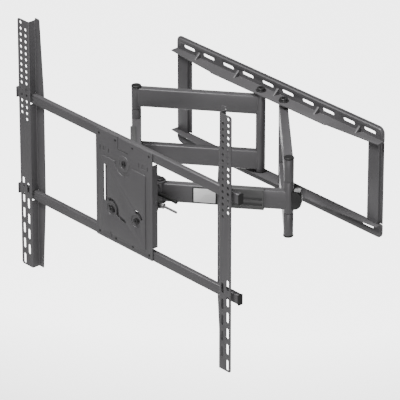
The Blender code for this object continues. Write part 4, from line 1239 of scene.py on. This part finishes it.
@dataclass
class Head:
    """The pivot yoke, the tilt clamp and the level bolts."""

    finishes: Finishes
    bore: float = 0.0043
    cheek_in: float = 0.0556
    cheek_out: float = 0.0586
    window_half: float = 0.0481
    window_drop: float = 0.0330
    window_top: float = 0.0105
    ear_in: float = 0.0510
    ear_out: float = 0.0540
    ear_half: float = 0.0200

    def build(self) -> None:
        """Makes the yoke, the tilt frame and their hardware."""
        self.yoke()
        self.tilt_frame()
        for side in Side:
            self.pin(side)
            self.level_bolt(f"level_bolt_{side.word}")
        self.level_bolt("level_pivot_bolt")
        self.knob()
        self.nut()
        self.grip()

    def pin(self, side: Side) -> None:
        """A head axle: a shank with a domed head on both ends."""
        node = f"head_axle_{side.word}"
        low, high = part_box(node)
        x, y = (low.x + high.x) / 2, (low.y + high.y) / 2
        radius = (high.x - low.x) / 2
        piece = bar(f"turned_{node}", 0.006, (x, y, low.z + 0.002), (x, y, high.z - 0.002), 32)
        ends = []
        for start, end in ((high.z - 0.004, high.z), (low.z + 0.004, low.z)):
            head = bar("pin_head", radius, (x, y, start), (x, y, end), 40)
            with Shaping(head) as shape:
                shape.pick(Pick.EDGE, lies_at(2, end)).bevel(0.0016, 4)
            ends.append(head)
        fit(fuse(piece, *ends), self.finishes.black_steel, node)

    def level_bolt(self, node: str) -> None:
        """A bolt along Y: socket head with a washer in front, and a nut behind."""
        low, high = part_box(node)
        x, z = (low.x + high.x) / 2, (low.z + high.z) / 2
        front = low.y + 0.003
        piece = bar(f"turned_{node}", 0.0040, (x, front - 0.001, z), (x, high.y, z), 24)
        washer = bar("washer", 0.0075, (x, front, z), (x, front - 0.0008, z), 40)
        fuse(piece, soften(washer, 0.0002))
        head = bar("head", 0.0058, (x, front - 0.0006, z), (x, low.y, z), 32)
        fuse(piece, soften(head, 0.0006, 3))
        cut(piece, bar("socket", 0.0030, (x, low.y - 0.001, z), (x, low.y + 0.0022, z), 6))
        nut = bar("nut", 0.0065, (x, high.y - 0.006, z), (x, high.y - 0.0008, z), 6)
        fuse(piece, soften(nut, 0.0005))
        fit(piece, self.finishes.black_steel, node)

    def knob(self) -> None:
        """The clamping knob, with flutes round its barrel."""
        low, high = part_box("tilt_knob")
        y, z, radius = (low.y + high.y) / 2, (low.z + high.z) / 2, (high.z - low.z) / 2
        piece = bar("fluted_knob", radius, (low.x, y, z), (high.x, y, z), 48)
        count, off = 10, radius + 0.0006
        around = [(y + off * cos(a), z + off * sin(a)) for a in (2 * pi * i / count for i in range(count))]
        flutes = [bar("flute", 0.0016, (low.x + 0.004, *spot), (high.x + 0.002, *spot), 12)
                  for spot in around]
        cut(piece, *flutes)
        cut(piece, bar("bore", self.bore, (low.x - 0.001, y, z), (high.x + 0.001, y, z), 32))
        fit(soften(piece, 0.0004), self.finishes.plastic, "tilt_knob")

    def nut(self) -> None:
        """The hexagon nut that backs the knob."""
        low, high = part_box("tilt_nut")
        y, z = (low.y + high.y) / 2, (low.z + high.z) / 2
        piece = bar("clamp_nut", (high.y - low.y) / 2, (low.x, y, z), (high.x, y, z), 6)
        soften(piece, 0.0006)
        cut(piece, bar("bore", 0.0033, (low.x - 0.001, y, z), (high.x + 0.001, y, z), 32))
        fit(piece, self.finishes.zinc, "tilt_nut")

    def grip(self) -> None:
        """The grip bar, with a rounded end and moulded rings, on its spigot."""
        low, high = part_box("tilt_grip")
        y, z, radius = (low.y + high.y) / 2, (low.z + high.z) / 2, (high.z - low.z) / 2
        start = low.x + 0.0033
        piece = bar("grip_bar", radius, (start, y, z), (high.x, y, z), 40)
        with Shaping(piece) as shape:
            shape.pick(Pick.EDGE, lies_at(0, high.x)).bevel(0.0018, 4)
            for i in range(7):
                shape.pick(Pick.FACE).split((start + 0.012 + i * 0.006, 0, 0), (1, 0, 0))
            rings = [start + 0.012 + i * 0.006 for i in range(7)]
            shape.pick(Pick.EDGE, lambda e: any(lies_at(0, x)(e) for x in rings))
            shape.bevel(0.0008, 1)
            shape.pick(Pick.FACE, lambda f: any(abs(f.calc_center_median().x - x) < HAIR * 10 for x in rings))
            bpy.ops.transform.resize(value=(1, 0.9, 0.9), center_override=(0, y, z))
        spigot = bar("spigot", 0.0028, (low.x, y, z), (start + 0.002, y, z), 24)
        fit(fuse(soften(piece, 0.0003), spigot), self.finishes.plastic, "tilt_grip")

    def tilt_frame(self) -> None:
        """The pressed plate behind the centre plate, with its window and two big cheeks."""
        low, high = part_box("tilt_frame")
        tilt = AXIS["tilt"]
        sheet_back = low.y + 0.0025
        piece = rounded_block("pressed_tilt_frame", low, (high.x, sheet_back, high.z), 1, 0.006, 5, 0)
        for side in Side:
            s = side.value
            fuse(piece, self.cheek(s * self.cheek_in, s * self.cheek_out, sheet_back - 0.001, tilt))
        cut(piece, block("window", (-self.window_half, low.y - 0.01, tilt.z - self.window_drop),
                         (self.window_half, sheet_back + 0.01, tilt.z - self.window_top)))
        for node in ("level_pivot_bolt", "level_bolt_left", "level_bolt_right"):
            a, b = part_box(node)
            x, z = (a.x + b.x) / 2, (a.z + b.z) / 2
            cut(piece, bar("hole", self.bore, (x, low.y - 0.01, z), (x, sheet_back + 0.01, z), 32))
        fit(soften(piece, 0.0004), self.finishes.steel, "tilt_frame")

    def cheek(self, start: float, end: float, root: float, tilt: Vector) -> bpy.types.Object:
        """A side cheek: a corner-cut plate with the shaft's hole and two slots."""
        near, far = min(start, end), max(start, end)
        piece = block("cheek", (near, root, tilt.z - 0.060), (far, tilt.y + 0.0385, tilt.z + 0.050))
        with Shaping(piece) as shape:
            shape.chop((0, tilt.y + 0.0385, tilt.z + 0.008), (0, 0.86, 0.51))
            shape.chop((0, tilt.y + 0.014, tilt.z + 0.048), (0, 0.5, 0.87))
            shape.chop((0, tilt.y + 0.0385, tilt.z - 0.008), (0, 0.95, -0.31))
            shape.chop((0, tilt.y + 0.014, tilt.z - 0.058), (0, 0.6, -0.8))
            shape.pick(Pick.EDGE, lambda e: runs_along(e, 0) and e.verts[0].co.y > tilt.y).bevel(0.0025, 3)
        tools = [bar("hole", self.bore, (near - 0.01, tilt.y, tilt.z), (far + 0.01, tilt.y, tilt.z), 32)]
        for y, z in ((0.021, 0.030), (0.018, -0.040)):
            tools.append(rounded_block("slot", (near - 0.01, tilt.y + y - 0.003, tilt.z + z - 0.006),
                                       (far + 0.01, tilt.y + y + 0.003, tilt.z + z + 0.006), 0, 0.0029, 5, 0))
        return cut(piece, *tools)

    def yoke(self) -> None:
        """The pivot yoke: a folded channel with rounded ears and two cheeks for the shaft."""
        low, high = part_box("pivot_yoke")
        tilt, pivot, thick = AXIS["tilt"], AXIS["head_left"], 0.003
        front = pivot.y - 0.033
        piece = block("folded_yoke", (low.x, front, low.z), (high.x, high.y, high.z))
        with Shaping(piece) as shape:
            shape.pick(Pick.EDGE, lambda e: runs_along(e, 2) and e.verts[0].co.y > pivot.y).bevel(0.0125, 8)
            shape.pick(Pick.EDGE, lambda e: runs_along(e, 0) and e.verts[0].co.y < pivot.y).bevel(0.0025, 4)
        cut(piece, block("throat", (low.x - 0.01, front + thick, low.z + thick),
                         (high.x + 0.01, high.y + 0.01, high.z - thick)))
        for side in Side:
            s = side.value
            cheek = block("cheek", (s * self.ear_in, low.y, tilt.z - self.ear_half),
                          (s * self.ear_out, front + thick / 2, tilt.z + self.ear_half))
            with Shaping(cheek) as shape:
                shape.pick(Pick.EDGE, lambda e: runs_along(e, 0) and e.verts[0].co.y < tilt.y)
                shape.bevel(0.0135, 8)
            cut(cheek, bar("hole", self.bore, (s * 0.04, tilt.y, tilt.z), (s * 0.06, tilt.y, tilt.z), 32))
            fuse(piece, cheek)
            x = s * abs(pivot.x)
            cut(piece, bar("hole", 0.0063, (x, pivot.y, low.z - 0.01), (x, pivot.y, high.z + 0.01), 40))
        fit(soften(piece, 0.0004), self.finishes.steel, "pivot_yoke")


# ---------------------------------------------------------------- studio


@dataclass
class Studio:
    """Pale floor, soft lights and the camera."""

    azimuth: float = 48.9
    elevation: float = 25.5
    distance: float = 9.494
    lens: float = 358.5
    aim: tuple = (0.0, -0.280, -0.110)
    aside: float = 0.0210
    below: float = 0.0915
    floor_depth: float = 1.6

    def build(self) -> None:
        """Sets up the whole studio."""
        self.camera()
        self.floor()
        self.light("key", (-0.5, -2.4, 3.5), 1.4, 165)
        self.light("strip", (3.4, 0.2, 0.6), 0.5, 6)
        self.light("fill", (2.8, -2.8, 0.4), 1.6, 45)
        self.light("top", (-0.2, -0.5, 3.2), 0.6, 80)
        world = bpy.data.worlds.new("studio_air")
        world.use_nodes = True
        world.node_tree.nodes["Background"].inputs["Color"].default_value = (1, 1, 1, 1)
        world.node_tree.nodes["Background"].inputs["Strength"].default_value = 0.10
        bpy.context.scene.world = world

    def camera(self) -> None:
        """Places the camera at its turn and height round the mount."""
        turn, tilt = radians(self.azimuth), radians(self.elevation)
        back = Vector((sin(turn) * cos(tilt), -cos(turn) * cos(tilt), sin(tilt)))
        right = Vector((cos(turn), sin(turn), 0))
        up = back.cross(right)
        aim = Vector(self.aim) + right * self.aside - up * self.below
        bpy.ops.object.camera_add(location=aim + back * self.distance)
        camera = bpy.context.object
        camera.name = "camera"
        camera.rotation_mode = "QUATERNION"
        camera.rotation_quaternion = (-back).to_track_quat("-Z", "Y")
        camera.data.lens = self.lens
        camera.data.sensor_width = 36
        camera.data.clip_end = 60
        bpy.context.scene.camera = camera

    def floor(self) -> None:
        """A wide pale floor well below the mount, with a bright pool where the camera looks past it."""
        turn = radians(self.azimuth)
        reach = self.floor_depth / tan(radians(self.elevation))
        pool = (-sin(turn) * reach, cos(turn) * reach, 0)
        bpy.ops.mesh.primitive_plane_add(size=60, location=(0, 0, -self.floor_depth))
        floor = bpy.context.object
        floor.name = "pale_floor"
        recipe = Recipe("pale_floor")
        tone = recipe.mix(recipe.noise(0.8, 2.0).band(0.3, 0.7), grey(0.80), grey(0.84))
        place = recipe.node("ShaderNodeTexCoord", {}, {}, "Object")
        away = recipe.node("ShaderNodeVectorMath", {"operation": "DISTANCE"}, {0: place, 1: pool}, "Value")
        glow = recipe.mix(away.band(1.6, 3.0), grey(1.0), grey(0.0))
        floor.data.materials.append(recipe.finish(Base_Color=tone, Roughness=0.9, Emission_Color=glow,
                                                  Emission_Strength=4.0))

    def light(self, name: str, place: Sequence[float], size: float, power: float) -> None:
        """A square soft light that faces the mount."""
        bpy.ops.object.light_add(type="AREA", location=place)
        lamp = bpy.context.object
        lamp.name = name
        lamp.data.size = size
        lamp.data.energy = power
        lamp.rotation_mode = "QUATERNION"
        lamp.rotation_quaternion = (Vector(self.aim) - Vector(place)).to_track_quat("-Z", "Y")


def main() -> None:
    """Builds the mount piece by piece, then the studio."""
    logging.basicConfig(level=logging.INFO, format="%(name)s: %(message)s")
    finishes = Finishes()
    finishes.dress_frame()
    WallFrame(finishes).build()
    for side in Side:
        Arm(finishes, side).build()
        ScreenBracket(finishes, side).build()
    for level in Level:
        ScreenRail(finishes, level).build()
    CentrePlate(finishes).build()
    Head(finishes).build()
    Studio().build()


if __name__ == "__main__":
    main()
